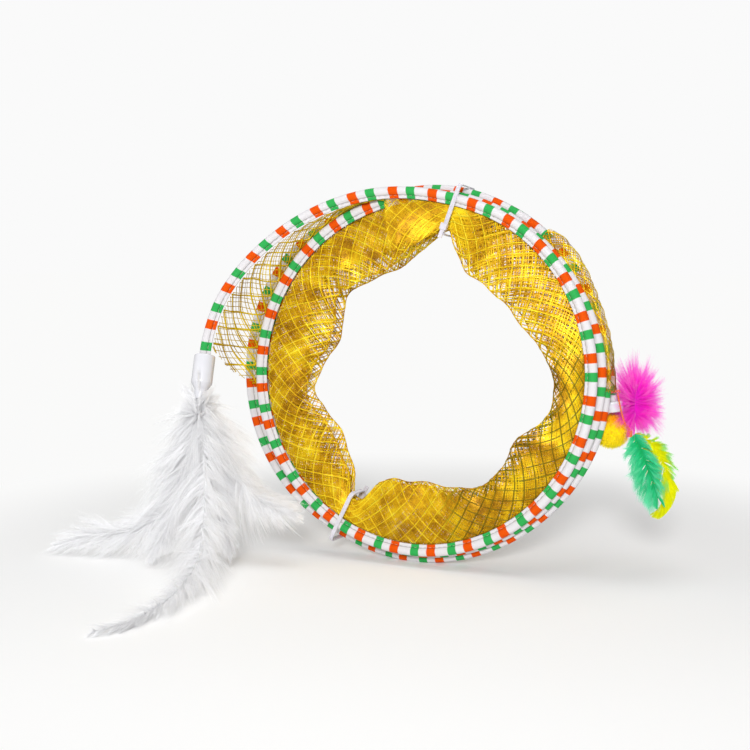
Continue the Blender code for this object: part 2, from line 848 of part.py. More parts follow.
# Rear socket, the orange cord looped round the binding above it, and the toy that it carries.
rear_end = COIL_FRAME @ coil_point(REAR_END_TURN)
rear_way = end_direction(REAR_END_TURN, -BINDING_END_STEP)
REAR_SOCKET_TOP = rear_end - BINDING_IN_SOCKET * rear_way
CORD_LOOP_TURN = REAR_END_TURN - CORD_LOOP_ABOVE_END / (FULL_TURN * RING_RADIUS)
cord_loop_place = round_ring(CORD_LOOP_TURN, laid_radius(CORD_LOOP_TURN), coil_depth(CORD_LOOP_TURN))
cord_loop_centre = COIL_FRAME @ cord_loop_place
REAR_SOCKET_END = REAR_SOCKET_TOP + REAR_SOCKET_LENGTH * rear_way
ball_hang = BALL_DIAMETER / 2 + BALL_BELOW_SOCKET
BALL_CENTRE = REAR_SOCKET_END + Vector((BALL_BESIDE_SOCKET, BALL_BEHIND_SOCKET, -ball_hang))
# The toy swings from where its cord leaves the loop, in front and to the right of the binding.
LOOP_SIDE = Vector((0.75, -0.66, 0)).normalized()
TOY_PIVOT = cord_loop_centre + LOOP_SIDE * (CORD_LOOP_RADIUS + CORD_DIAMETER + GAP)


def add_rear_socket():
    outer = REAR_SOCKET_DIAMETER / 2
    bore = SOCKET_BORE / 2
    edge = SOCKET_EDGE
    profile = [
        (0, -REAR_SOCKET_BORE_DEPTH),
        (bore, -REAR_SOCKET_BORE_DEPTH),
        (bore, 0),
        (outer - edge / 2, 0),
        (outer, -edge),
        (outer, -REAR_SOCKET_LENGTH + edge),
        (outer - edge, -REAR_SOCKET_LENGTH),
        (0, -REAR_SOCKET_LENGTH),
    ]
    turned("rear_socket", profile, 24, PLASTIC, standing_on(REAR_SOCKET_TOP, rear_way))


def add_cord_loop():
    bpy.ops.mesh.primitive_torus_add(
        major_radius=CORD_LOOP_RADIUS,
        minor_radius=CORD_DIAMETER / 2,
        major_segments=20,
        minor_segments=6,
    )
    ring = bpy.context.object
    mesh = ring.data
    mesh.shade_smooth()
    bpy.data.objects.remove(ring)
    made = add_object("cord_loop", mesh, ORANGE)
    made.matrix_world = standing_on(cord_loop_centre, rear_way)


KNOT_DIRECTION = Vector((0.93, -0.30, -0.06)).normalized()
KNOT = BALL_CENTRE + KNOT_DIRECTION * (BALL_DIAMETER / 2 + GAP + FEATHER_BINDING_DIAMETER / 2)


def add_toy():
    bpy.ops.mesh.primitive_uv_sphere_add(segments=20, ring_count=12, radius=BALL_DIAMETER / 2)
    ball = bpy.context.object
    mesh = ball.data
    mesh.shade_smooth()
    bpy.data.objects.remove(ball)
    made = add_object("toy_ball", mesh, PLUSH)
    made.location = BALL_CENTRE

    bpy.ops.mesh.primitive_cylinder_add(
        vertices=12,
        radius=FEATHER_BINDING_DIAMETER / 2,
        depth=FEATHER_BINDING_LENGTH,
    )
    band = bpy.context.object
    mesh = band.data
    mesh.shade_smooth()
    mesh.set_sharp_from_angle(angle=math.radians(40))
    bpy.data.objects.remove(band)
    made = add_object("feather_binding", mesh, ORANGE)
    made.location = KNOT

    off_ball = BALL_DIAMETER / 2 + GAP + CORD_DIAMETER
    above = Vector((0, 0, FEATHER_BINDING_LENGTH / 2 + GAP + CORD_DIAMETER / 2))
    off_socket = REAR_SOCKET_DIAMETER / 2 + GAP + CORD_DIAMETER
    beside_socket = (REAR_SOCKET_TOP + REAR_SOCKET_END) / 2 + off_socket * LOOP_SIDE
    over = BALL_CENTRE + off_ball * Vector((0.80, -0.48, 0.48)).normalized()
    beside = BALL_CENTRE + off_ball * Vector((0.90, -0.38, 0.30)).normalized()
    line = (TOY_PIVOT, beside_socket, over, beside, KNOT + above)
    line = spine_points(line, 1.0, Vector((0, 0, 0)), CORD_STATIONS)
    add_object("toy_cord", tube("toy_cord", line, CORD_DIAMETER, 1), ORANGE)


# Feathers bound at the knot: name, look, length and half width as shares of the largest, the way
# the flat face looks, and the spine from the knot in shares of the feather's length.
FEATHER_SHARES = (
    (
        "feather_pink",
        PINK,
        0.781,
        1.0,
        (-0.45, -1, 0),
        ((0, 0, 0), (0.03, 0.10, 0.14), (0.0, 0.20, 0.34), (-0.03, 0.24, 0.62), (-0.02, 0.24, 0.92)),
    ),
    (
        "feather_green",
        GREEN,
        0.75,
        0.496,
        (0.2, -1, 0),
        ((0, 0, 0), (0.10, -0.03, -0.22), (0.22, -0.04, -0.50), (0.34, -0.04, -0.90)),
    ),
    (
        "feather_yellow",
        YELLOW,
        1.0,
        0.496,
        (0.2, -1, 0),
        ((0, 0, 0), (0.27, 0.02, -0.15), (0.40, 0.03, -0.41), (0.465, 0.03, -0.54), (0.30, 0.02, -0.84)),
    ),
)
FEATHER_FLUFF_START_SHARE = 0.04
FEATHER_STEP_SHARE = 1.5


def add_feathers():
    for k, (name, look, length_share, width_share, facing, shares) in enumerate(FEATHER_SHARES):
        length = FEATHER_LENGTH * length_share
        half = FEATHER_HALF_WIDTH * width_share
        side = Vector((1, 0, 0)) * (FEATHER_BINDING_DIAMETER / 2 + GAP + QUILL)
        step = Vector((0, 1, 0)) * (k - 1) * (FEATHER_THICKNESS + GAP) * FEATHER_STEP_SHARE
        spine = spine_points(shares, length, KNOT + side + step, FEATHER_STATIONS)
        rows = feather_rows(spine, vane(half, FEATHER_FLUFF_START_SHARE), Vector(facing))
        add_cloth(name, rows, FEATHER_THICKNESS, look)


add_wire()
add_binding()
add_front_sail()
add_net("net_front_fold", FRONT_FOLD_TURNS, net_section)
add_net("net_back_fold", BACK_FOLD_TURNS, net_section)
add_net("net_rear_sail", REAR_SAIL_TURNS, rear_sail_section)
add_tie("top_tie", TOP_TIE_TURN, 4, TOP_TIE_SLANT, True)
add_tie("lower_tie", LOWER_TIE_TURN, 3, LOWER_TIE_SLANT, False)
add_front_socket()
add_plumes()
add_rear_socket()
add_cord_loop()
add_toy()
add_feathers()
print(f"least gap between turns of the binding: {least_gap_to_itself() * 1000:.2f} mm")
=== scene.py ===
import math

import bmesh
import bpy
import numpy as np
from mathutils import Matrix, Vector


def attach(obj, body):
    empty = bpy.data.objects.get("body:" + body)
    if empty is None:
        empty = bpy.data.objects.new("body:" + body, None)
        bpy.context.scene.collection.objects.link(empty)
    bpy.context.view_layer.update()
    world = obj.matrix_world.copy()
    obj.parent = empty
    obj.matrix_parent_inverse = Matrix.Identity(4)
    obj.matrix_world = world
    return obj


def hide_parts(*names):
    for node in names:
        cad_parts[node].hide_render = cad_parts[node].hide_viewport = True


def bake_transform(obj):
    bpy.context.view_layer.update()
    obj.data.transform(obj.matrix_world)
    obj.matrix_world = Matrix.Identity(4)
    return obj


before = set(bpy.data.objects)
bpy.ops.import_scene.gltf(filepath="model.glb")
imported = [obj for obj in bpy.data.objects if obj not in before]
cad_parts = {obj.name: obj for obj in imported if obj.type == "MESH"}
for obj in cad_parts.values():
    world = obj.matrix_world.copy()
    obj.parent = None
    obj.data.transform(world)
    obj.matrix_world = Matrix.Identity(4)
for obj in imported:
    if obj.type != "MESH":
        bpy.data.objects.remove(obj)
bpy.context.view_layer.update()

# Setting. The folded tunnel stands on edge on a pale table under wide soft lamps, and the camera
# looks at it a little from its right, from just above the table.
RING_CENTRE = Vector((0.0, -0.00936, 0.12594))
LOOK_AT = RING_CENTRE + Vector((-0.0278, 0.0, -0.0014))
VIEW_TURN = math.radians(23.12)
VIEW_RISE = math.radians(6.0)
VIEW_DISTANCE = 0.7718
BACKDROP_LEVEL = 0.956
ROOM_LEVEL = 0.25

camera = bpy.data.objects.new("camera", bpy.data.cameras.new("camera"))
bpy.context.scene.collection.objects.link(camera)
camera.data.lens = 56.44
camera.data.sensor_width = 36.0
camera.data.clip_start = 0.01
level = math.cos(VIEW_RISE)
sight = Vector((math.sin(VIEW_TURN) * level, -math.cos(VIEW_TURN) * level, math.sin(VIEW_RISE)))
camera.location = LOOK_AT + VIEW_DISTANCE * sight
camera.rotation_euler = sight.to_track_quat("Z", "Y").to_euler()
bpy.context.scene.camera = camera
bpy.context.scene.view_settings.view_transform = "Standard"


def fill(tree, node, sockets):
    """Each socket gets its value, or a link where it is given another node's output."""
    for name, value in sockets.items():
        if isinstance(value, bpy.types.NodeSocket):
            tree.links.new(value, node.inputs[name])
        else:
            node.inputs[name].default_value = value


def put(tree, kind, sockets):
    made = tree.nodes.new(f"ShaderNode{kind}")
    fill(tree, made, sockets)
    return made


def math_node(tree, operation, a, b=None, clamp=False):
    made = put(tree, "Math", {})
    made.operation = operation
    made.use_clamp = clamp
    fill(tree, made, {0: a} if b is None else {0: a, 1: b})
    return made.outputs[0]


def smooth_range(tree, value, low, high, at_low, at_high):
    made = put(tree, "MapRange", {"Value": value, "From Min": low, "From Max": high})
    made.interpolation_type = "SMOOTHSTEP"
    fill(tree, made, {"To Min": at_low, "To Max": at_high})
    return made.outputs[0]


def object_place(tree):
    return put(tree, "TexCoord", {}).outputs["Object"]


def new_material(name, sockets):
    made = bpy.data.materials.new(name)
    made.use_nodes = True
    shader = made.node_tree.nodes["Principled BSDF"]
    fill(made.node_tree, shader, sockets)
    return made, made.node_tree, shader


def deselect_all():
    for thing in bpy.context.selected_objects:
        thing.select_set(False)


# white where the camera looks past the table, also in gloss and through clear plastic
world = bpy.data.worlds.new("studio")
bpy.context.scene.world = world
world.use_nodes = True
tree = world.node_tree
soft = tree.nodes["Background"]
fill(tree, soft, {"Color": (1.0, 1.0, 1.0, 1.0), "Strength": ROOM_LEVEL})
white = put(tree, "Background", {"Color": (1.0, 1.0, 1.0, 1.0), "Strength": BACKDROP_LEVEL})
rays = put(tree, "LightPath", {}).outputs
seen = math_node(tree, "MAXIMUM", rays["Is Camera Ray"], rays["Is Glossy Ray"])
seen = math_node(tree, "MAXIMUM", seen, rays["Is Transmission Ray"])
choose = put(tree, "MixShader", {0: seen, 1: soft.outputs[0], 2: white.outputs[0]})
fill(tree, tree.nodes["World Output"], {0: choose.outputs[0]})

# the table takes the shadows near the ring and fades to the backdrop's white further out
deselect_all()
bpy.ops.mesh.primitive_plane_add(size=14.0, location=(0.0, 3.0, 0.0))
bpy.ops.object.transform_apply(location=True, rotation=False, scale=False)
table = bpy.context.object
table.name = "table"
look, tree, shader = new_material(
    "table_paint",
    {"Base Color": (0.965, 0.965, 0.96, 1.0), "Roughness": 0.9, "Specular IOR Level": 0.1},
)
glow = put(tree, "Emission", {"Color": (1.0, 1.0, 0.995, 1.0), "Strength": BACKDROP_LEVEL})
from_ring = put(tree, "VectorMath", {})
from_ring.operation = "LENGTH"
fill(tree, from_ring, {0: object_place(tree)})
fade = smooth_range(tree, from_ring.outputs["Value"], 0.20, 0.44, 0.07, 1.0)
camera_ray = put(tree, "LightPath", {}).outputs["Is Camera Ray"]
shown = math_node(tree, "MULTIPLY", camera_ray, fade)
paint = put(tree, "MixShader", {0: shown, 1: shader.outputs[0], 2: glow.outputs[0]})
fill(tree, tree.nodes["Material Output"], {0: paint.outputs[0]})
table.data.materials.append(look)

LAMPS = (
    # place, size, power in watts: the key lamp is low in front, the others fill in from all round
    ((0.46, -1.50, 0.62), 0.30, 21.0),
    ((0.10, -0.10, 1.60), 1.1, 8.6),
    ((-1.2, -0.7, 0.9), 1.2, 3.0),
)
for place, size, power in LAMPS:
    lamp = bpy.data.objects.new("soft_lamp", bpy.data.lights.new("soft_lamp", "AREA"))
    bpy.context.scene.collection.objects.link(lamp)
    lamp.data.shape = "SQUARE"
    lamp.data.size = size
    lamp.data.energy = power
    lamp.location = place
    lamp.rotation_euler = (Vector(place) - LOOK_AT).to_track_quat("Z", "Y").to_euler()


# Spring wire. One length of bright steel, 1.2 mm thick, wound in three and a half loose turns and
# sealed inside the binding. Its ends spring out of the coil into the two sockets.
RING_RADIUS = 0.115
RING_LENGTH = 2 * math.pi * RING_RADIUS
TURN_PITCH = 0.007
COIL_LEAN = math.radians(3.7)
FRONT_END_TURN = -0.245
REAR_END_TURN = 3.2712
FRONT_FREE_TURN = -0.02
REAR_FREE_TURN = 3.05
FRONT_FLARE = 0.0363
REAR_FLARE = 0.0036
FLARE_POWER = 1.6
TURN_RADIUS_SHARES = (
    # (turn from the top of the front turn, radius as a share of the ring's)
    (-0.30, 1.108), (-0.245, 1.171), (-0.22, 1.190), (-0.19, 1.193), (-0.125, 1.130),
    (-0.06, 1.067), (0.02, 1.003), (0.10, 1.000),
    (0.93, 1.000), (1.00, 1.010), (1.06, 1.013), (1.11, 1.007),
    (1.17, 1.016), (1.23, 1.033), (1.28, 1.029), (1.34, 1.019), (1.45, 1.015), (1.60, 1.018),
    (1.90, 1.020), (2.02, 1.044), (2.09, 1.042), (2.24, 1.046), (2.30, 1.050), (2.38, 1.041),
    (2.44, 1.046), (2.50, 1.058), (2.585, 1.072), (2.64, 1.108), (2.70, 1.132), (2.75, 1.137),
    (2.80, 1.131), (2.845, 1.118), (2.88, 1.088), (2.92, 1.061), (3.00, 1.046), (3.10, 1.038),
    (3.18, 1.027), (3.22, 1.031), (3.25, 1.050), (3.28, 1.098),
)
WIRE_RADIUS = 0.0006
BEAD_RADIUS = 0.0029
STRIP_HALF = 0.0039
BEAD_OUT = STRIP_HALF - BEAD_RADIUS
COIL_TO_ROOM = np.array(Matrix.Rotation(-math.pi / 2 - COIL_LEAN, 3, "X"))


def eased(table, at):
    """A smooth curve through a table of (place, value), read at many places at once."""
    x = np.array([row[0] for row in table])
    y = np.array([row[1] for row in table])
    at = np.clip(np.asarray(at, float), x[0], x[-1])
    k = np.clip(np.searchsorted(x, at, side="right") - 1, 0, len(x) - 2)
    low = np.maximum(np.arange(len(x)) - 1, 0)
    high = np.minimum(np.arange(len(x)) + 1, len(x) - 1)
    slope = (y[high] - y[low]) / (x[high] - x[low])
    span = x[k + 1] - x[k]
    t = (at - x[k]) / span
    rise = y[k + 1] - y[k]
    a = slope[k] * span - rise
    b = rise - slope[k + 1] * span
    return y[k] + t * rise + t * (1 - t) * ((1 - t) * a + t * b)


def smooth_step(low, high, at):
    t = np.clip((np.asarray(at, float) - low) / (high - low), 0.0, 1.0)
    return t * t * (3 - 2 * t)


def coil_radius(turn):
    return RING_RADIUS * eased(TURN_RADIUS_SHARES, turn)


def coil_depth(turn):
    turn = np.asarray(turn, float)
    front = np.maximum(0, (FRONT_FREE_TURN - turn) / (FRONT_FREE_TURN - FRONT_END_TURN))
    rear = np.maximum(0, (turn - REAR_FREE_TURN) / (REAR_END_TURN - REAR_FREE_TURN))
    return TURN_PITCH * turn - FRONT_FLARE * front**FLARE_POWER + REAR_FLARE * rear**FLARE_POWER


def in_room(turn, radius, depth):
    """Points round the ring, given by turn, radius and depth behind its front, in the room."""
    angle = 2 * math.pi * np.asarray(turn, float)
    local = np.broadcast_arrays(radius * np.sin(angle), -radius * np.cos(angle), depth)
    return np.stack(local, -1) @ COIL_TO_ROOM.T + np.array(RING_CENTRE)


def mesh_piece(name, points, quads, look, uv=None):
    """A piece from an array of points and an array of four-cornered faces."""
    data = bpy.data.meshes.new(name)
    points = np.asarray(points, float).reshape(-1, 3)
    quads = np.asarray(quads, np.int32).reshape(-1, 4)
    data.vertices.add(len(points))
    data.vertices.foreach_set("co", points.ravel())
    data.loops.add(quads.size)
    data.loops.foreach_set("vertex_index", quads.ravel())
    data.polygons.add(len(quads))
    data.polygons.foreach_set("loop_start", np.arange(0, quads.size, 4, dtype=np.int32))
    data.update(calc_edges=True)
    if uv is not None:
        layer = data.uv_layers.new(name="along_and_round")
        layer.data.foreach_set("uv", np.asarray(uv, float).reshape(-1, 2)[quads.ravel()].ravel())
    data.materials.append(look)
    made = bpy.data.objects.new(name, data)
    bpy.context.scene.collection.objects.link(made)
    for face in data.polygons:
        face.use_smooth = True
    return made


def tube_quads(lines, stations, sides):
    """Faces of many open tubes, or flat ribbons (2 sides), counted line by line, then station."""
    n = np.arange(lines)[:, None, None] * stations * sides
    k = np.arange(stations - 1)[:, None] * sides
    s = np.arange(sides if sides > 2 else 1)
    s2 = (s + 1) % sides
    return np.stack([n + k + corner for corner in (s, s2, sides + s2, sides + s)], -1)


def follow_stretch(piece, shares):
    """Bakes the piece's transform into its points and clips the given shares of the rear end's
    travel.
    """
    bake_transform(piece)
    shares = np.clip(np.asarray(shares, float).ravel(), 0, 1).astype(np.float32)


def stretch_share(turn):
    return np.clip(np.asarray(turn, float) / REAR_END_TURN, 0, 1)


def swept_round_coil(name, turns, section, look, uv=None):
    """A closed section (outward, back) carried along the coil."""
    radius = coil_radius(turns)[:, None] + section[:, 0]
    depth = coil_depth(turns)[:, None] + section[:, 1]
    quads = tube_quads(1, len(turns), len(section)).reshape(-1, 4)
    return mesh_piece(name, in_room(turns[:, None], radius, depth), quads[:, ::-1], look, uv)


def close_ends(piece):
    """Open ends are filled and every face is turned outwards."""
    shape = bmesh.new()
    shape.from_mesh(piece.data)
    bmesh.ops.holes_fill(shape, edges=[e for e in shape.edges if e.is_boundary], sides=0)
    bmesh.ops.recalc_face_normals(shape, faces=shape.faces)
    shape.to_mesh(piece.data)
    shape.free()


def angles_round(sides):
    return np.arange(sides) * 2 * math.pi / sides


def noise(tree, vector, **sockets):
    return put(tree, "TexNoise", {"Vector": vector, **sockets}).outputs["Fac"]


def tones(tree, at, *stops):
    """The colour read at a value from a ramp of (place, colour) stops."""
    ramp = put(tree, "ValToRGB", {0: at})
    elements = ramp.color_ramp.elements
    for element, (place, colour) in zip(elements, (stops[0], stops[-1])):
        element.position = place
        element.color = (*colour, 1.0)
    for place, colour in stops[1:-1]:
        elements.new(place).color = (*colour, 1.0)
    return ramp.outputs[0]


def speckled(name, grain, low, high, sockets, relief=0.0):
    """A finish that wanders between two tones in small grains, with a low relief if asked."""
    made, tree, shader = new_material(name, sockets)
    specks = noise(tree, object_place(tree), Scale=grain)
    fill(tree, shader, {"Base Color": tones(tree, specks, (0.0, low), (1.0, high))})
    if relief:
        bump = put(tree, "Bump", {"Strength": relief, "Distance": 0.0001, "Height": specks})
        fill(tree, shader, {"Normal": bump.outputs[0]})
    return made


STEEL_TONES = (0.42, 0.43, 0.45), (0.62, 0.63, 0.65)
steel = speckled("drawn_spring_steel", 900.0, *STEEL_TONES, {"Metallic": 1.0, "Roughness": 0.3})
WIRE_BEYOND_BINDING = 0.001
WIRE_SIDES = 8
beyond = WIRE_BEYOND_BINDING / RING_LENGTH
turns = np.linspace(FRONT_END_TURN - beyond, REAR_END_TURN + beyond, 340)
angles = angles_round(WIRE_SIDES)
section = np.stack((BEAD_OUT + WIRE_RADIUS * np.cos(angles), WIRE_RADIUS * np.sin(angles)), -1)
wire = swept_round_coil("spring_wire_drawn", turns, section, steel)
close_ends(wire)
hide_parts("spring_wire")
follow_stretch(wire, np.repeat(stretch_share(turns), WIRE_SIDES))


# Binding. A woven strip with orange, white and green bands, folded over the wire and sewn down
# beside it, so that a round bead stands outside a flat flange with a seam between them.
BANDS = (
    # (turn, number of orange bands passed), read off along the strip
    (-0.216, 0), (-0.125, 3), (-0.060, 5), (0.013, 7), (0.0511, 8), (0.9815, 34), (1.0994, 37),
    (1.3847, 45), (2.2442, 69), (2.5139, 77), (2.6025, 80), (2.8358, 87), (3.0319, 93),
    (3.1017, 95), (3.28, 100.1),
)
BAND_REPEAT = 0.0262
# added to every count, so that a repeat starts with its orange band and none lies below nothing
BAND_START = 100.117
SEAM_PLACES = (0.0, 0.0164)
WHITE = (0.69, 0.67, 0.69)
ORANGE = (0.71, 0.078, 0.0)
GREEN = (0.030, 0.37, 0.080)
BEAD_POINTS = 22


def bands_at(turn):
    turn = np.asarray(turn, float)
    x = np.array([row[0] for row in BANDS], float)
    y = np.array([row[1] for row in BANDS], float)
    first = (y[1] - y[0]) / (x[1] - x[0])
    return np.where(turn < x[0], y[0] + (turn - x[0]) * first, np.interp(turn, x, y))


def length_along(points):
    """The way from the first point of a line to each point."""
    steps = np.linalg.norm(np.diff(points, axis=0), axis=1)
    return np.concatenate(([0.0], np.cumsum(steps)))


def strip_place(tree):
    made = put(tree, "UVMap", {})
    made.uv_map = "along_and_round"
    return made.outputs[0]


def scaled(tree, colour, share):
    made = put(tree, "VectorMath", {})
    made.operation = "SCALE"
    fill(tree, made, {0: colour, "Scale": share})
    return made.outputs[0]


def wander(tree, specks, reach):
    """A noise value turned into a swing to both sides of nothing."""
    return math_node(tree, "MULTIPLY", math_node(tree, "SUBTRACT", specks, 0.5), reach)


cloth, tree, shader = new_material(
    "woven_banded_binding",
    {"Roughness": 0.78, "Sheen Weight": 0.03, "Sheen Roughness": 0.4, "Specular IOR Level": 0.1},
)
strip = strip_place(tree)
split = put(tree, "SeparateXYZ", {0: strip}).outputs
drawn_out = put(tree, "Mapping", {0: strip, "Scale": (0.15, 8.0, 1.0)}).outputs[0]
along = math_node(tree, "ADD", split["X"], wander(tree, noise(tree, drawn_out, Scale=60.0), 0.03))
bands = tones(
    tree, math_node(tree, "FRACT", math_node(tree, "ADD", along, BAND_START)),
    (0.0, ORANGE), (0.228, ORANGE), (0.240, WHITE), (0.442, WHITE),
    (0.454, GREEN), (0.661, GREEN), (0.673, WHITE), (0.990, WHITE),
)
wave = put(tree, "TexWave", {"Vector": strip, "Scale": 12.0, "Distortion": 1.2, "Detail": 2.0})
wave.wave_type = "BANDS"
wave.bands_direction = "X"
ribs = wave.outputs["Fac"]
yarns = noise(tree, object_place(tree), Scale=1400.0, Detail=4.0)
shade = math_node(tree, "ADD", math_node(tree, "MULTIPLY", ribs, 0.12), 0.84)
shade = math_node(tree, "ADD", shade, math_node(tree, "MULTIPLY", yarns, 0.16))
rim_place = math_node(tree, "MULTIPLY", split["Y"], BAND_REPEAT)
# painted shade: the cloth is darkened in a narrow line along each seam, in the crease between bead
# and flange
for seam in SEAM_PLACES:
    beside = math_node(tree, "ABSOLUTE", math_node(tree, "SUBTRACT", rim_place, seam))
    seam_shade = smooth_range(tree, beside, 0.0002, 0.0009, 0.50, 1.0)
    shade = math_node(tree, "MULTIPLY", shade, seam_shade)
relief = math_node(tree, "ADD", ribs, math_node(tree, "MULTIPLY", yarns, 0.8))
bump = put(tree, "Bump", {"Strength": 0.45, "Distance": 0.00025, "Height": relief})
fill(tree, shader, {"Base Color": scaled(tree, bands, shade), "Normal": bump.outputs[0]})

# round the bead from the seam in front to the seam behind, then the flange
around = np.linspace(math.radians(198), math.radians(522), BEAD_POINTS)
bead = np.stack((BEAD_OUT + BEAD_RADIUS * np.cos(around), BEAD_RADIUS * np.sin(around)), -1)
flange = np.array(
    [
        (-0.0022, 0.00075), (-0.0030, 0.00085), (-0.0037, 0.00070), (-0.0039, 0.00030),
        (-0.0039, -0.00030), (-0.0037, -0.00070), (-0.0030, -0.00085), (-0.0022, -0.00075),
    ]
)
section = np.concatenate((bead, flange))
turns = np.linspace(FRONT_END_TURN, REAR_END_TURN, 560)
rim = length_along(np.concatenate((section, section[:1])))[:-1] / BAND_REPEAT
uv = np.stack(np.broadcast_arrays(bands_at(turns)[:, None], rim), -1)
binding = swept_round_coil("binding_cloth_tape", turns, section, cloth, uv)
# where it stands on the table it is pressed flat
points = np.array([v.co[:] for v in binding.data.vertices])
points[:, 2] = np.maximum(points[:, 2], 0.0)
binding.data.vertices.foreach_set("co", points.ravel())
close_ends(binding)
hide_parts("binding_tape")
follow_stretch(binding, np.repeat(stretch_share(turns), len(section)))


# Stitches. Thread in short running stitches beside the bead, on both faces of the binding,
# darkened to a brownish grey as painted shade of the seam's crease. The ends of each stitch
# dip into the cloth.
STITCH_SPACING_TURNS = 0.0048
STITCH_SHARE = 0.62
STITCH_RADIUS = 0.00011
STITCH_SIDES = 4
STITCH_INSIDE_STRIP = 0.00205
FLANGE_FACE = 0.00086
STITCH_LIFTS = np.array([-0.0002, 0.00005, 0.0001, 0.00005, -0.0002])
# painted shade: the thread's tones are dark, standing for the shade in the seam's crease
CREASE_SHADE_THREAD_TONES = (0.34, 0.27, 0.22), (0.62, 0.55, 0.50)
thread = speckled("sewing_thread", 2500.0, *CREASE_SHADE_THREAD_TONES, {"Roughness": 0.6})
starts = np.arange(FRONT_END_TURN + 0.01, REAR_END_TURN - 0.012, STITCH_SPACING_TURNS)
step = np.linspace(0, STITCH_SPACING_TURNS * STITCH_SHARE, len(STITCH_LIFTS))
places = starts[:, None] + step
angles = angles_round(STITCH_SIDES)
radius = coil_radius(places)[..., None] - STITCH_INSIDE_STRIP + STITCH_RADIUS * np.cos(angles)
stitches = []
for side in (-1, 1):
    depth = coil_depth(places)[..., None] + side * (FLANGE_FACE + STITCH_LIFTS[:, None])
    stitches.append(in_room(places[..., None], radius, depth + STITCH_RADIUS * np.sin(angles)))
stitches = np.concatenate(stitches)
quads = tube_quads(len(stitches), len(STITCH_LIFTS), STITCH_SIDES)
row = mesh_piece("binding_stitches", stitches, quads, thread)
follow_stretch(row, np.tile(stretch_share(np.repeat(places.ravel(), STITCH_SIDES)), 2))


# Netting. Flat metallic-gold thread in an open square mesh, cut on the slant and sewn by both
# edges between one turn and the next, so that it hangs in a deep fold when the coil is closed.
NET_WIDTH = 0.085
NET_EDGE_BESIDE_FLANGE = 0.0011
NET_OFF_BEAD = 0.0011
FLANGE_EDGE = STRIP_HALF + 0.0005
FOLD_SPREAD = 0.007
FOLD_FAN = 0.0035
FOLD_LOOP = 0.0024
TOP_TIE_TURN = 1 / 30
LOWER_TIE_TURN = 0.575
FOLD_RADIUS_SHARES = (
    # (turn, radius of the fold as a share of the ring's), once round from the top tie
    (0.042, 0.830), (0.0575, 0.707), (0.074, 0.647), (0.118, 0.647), (0.161, 0.667),
    (0.192, 0.695), (0.231, 0.775), (0.267, 0.806), (0.281, 0.807), (0.322, 0.703),
    (0.342, 0.683), (0.375, 0.722), (0.422, 0.711), (0.456, 0.667), (0.483, 0.630),
    (0.519, 0.629), (0.55, 0.664), (0.566, 0.820), (0.584, 0.820), (0.598, 0.725),
    (0.619, 0.674), (0.661, 0.633), (0.694, 0.679), (0.722, 0.713), (0.747, 0.676),
    (0.789, 0.589), (0.825, 0.600), (0.858, 0.673), (0.883, 0.663), (0.928, 0.634),
    (0.967, 0.654), (1.004, 0.756), (1.024, 0.830),
)
SLANT = math.radians(45)
# waves across the folds: waves in a turn, lean along the width, place of the first, height
FLUTES = ((11, 0, 0.0, 0.0012), (26.3, 5, 1.0, 0.0009), (47, -7, 0.0, 0.0004))
FRONT_SAIL = (-8 / 30, -0.034)
SAIL_START_TURN = -0.234
STRONG_SPACING = 0.0083
SHORTEST_THREAD = 0.002
THREE_CORNERS = np.radians([90, 210, 330])
CREASE_RADIUS = 0.0002
CREASE_WAVES = np.array([[9], [13], [7], [11], [8]])
OPEN_EDGE_WIDTHS = (
    # (share of the way round from the top, half the width of the open mesh at the fold)
    (0.00, 0.06), (0.06, 0.10), (0.12, 0.12), (0.25, 0.10), (0.33, 0.15), (0.42, 0.10),
    (0.48, 0.05), (0.56, 0.05), (0.62, 0.16), (0.69, 0.16), (0.74, 0.09), (0.79, 0.18),
    (0.84, 0.26), (0.90, 0.17), (0.97, 0.13), (1.00, 0.06),
)


def gathered(turn):
    around = (turn - TOP_TIE_TURN) % 1.0
    from_top_tie = np.minimum(around, 1 - around)
    from_lower_tie = np.abs(around - LOWER_TIE_TURN + TOP_TIE_TURN)
    return smooth_step(0.008, 0.06, np.minimum(from_top_tie, from_lower_tie))


def spline_across(controls, v):
    """A smooth curve through the controls (one row for each point wanted), read at share v."""
    slope = np.empty_like(controls)
    slope[..., 1:-1] = (controls[..., 2:] - controls[..., :-2]) / 2
    slope[..., 0] = controls[..., 1] - controls[..., 0]
    slope[..., -1] = controls[..., -1] - controls[..., -2]
    x = np.clip(v, 0, 1) * (controls.shape[-1] - 1)
    k = np.clip(np.floor(x).astype(int), 0, controls.shape[-1] - 2)
    t = x - k

    def pick(values, at):
        return np.take_along_axis(values, at[..., None], -1)[..., 0]

    p0, p1 = pick(controls, k), pick(controls, k + 1)
    m0, m1 = pick(slope, k), pick(slope, k + 1)
    return (
        (2 * t**3 - 3 * t**2 + 1) * p0
        + (t**3 - 2 * t**2 + t) * m0
        + (3 * t**2 - 2 * t**3) * p1
        + (t**3 - t**2) * m1
    )


def across_rows(rows, v):
    """Radius and depth at share v of the width, through rows of (radius, depth)."""
    return (spline_across(np.stack(values, -1), v) for values in zip(*rows))


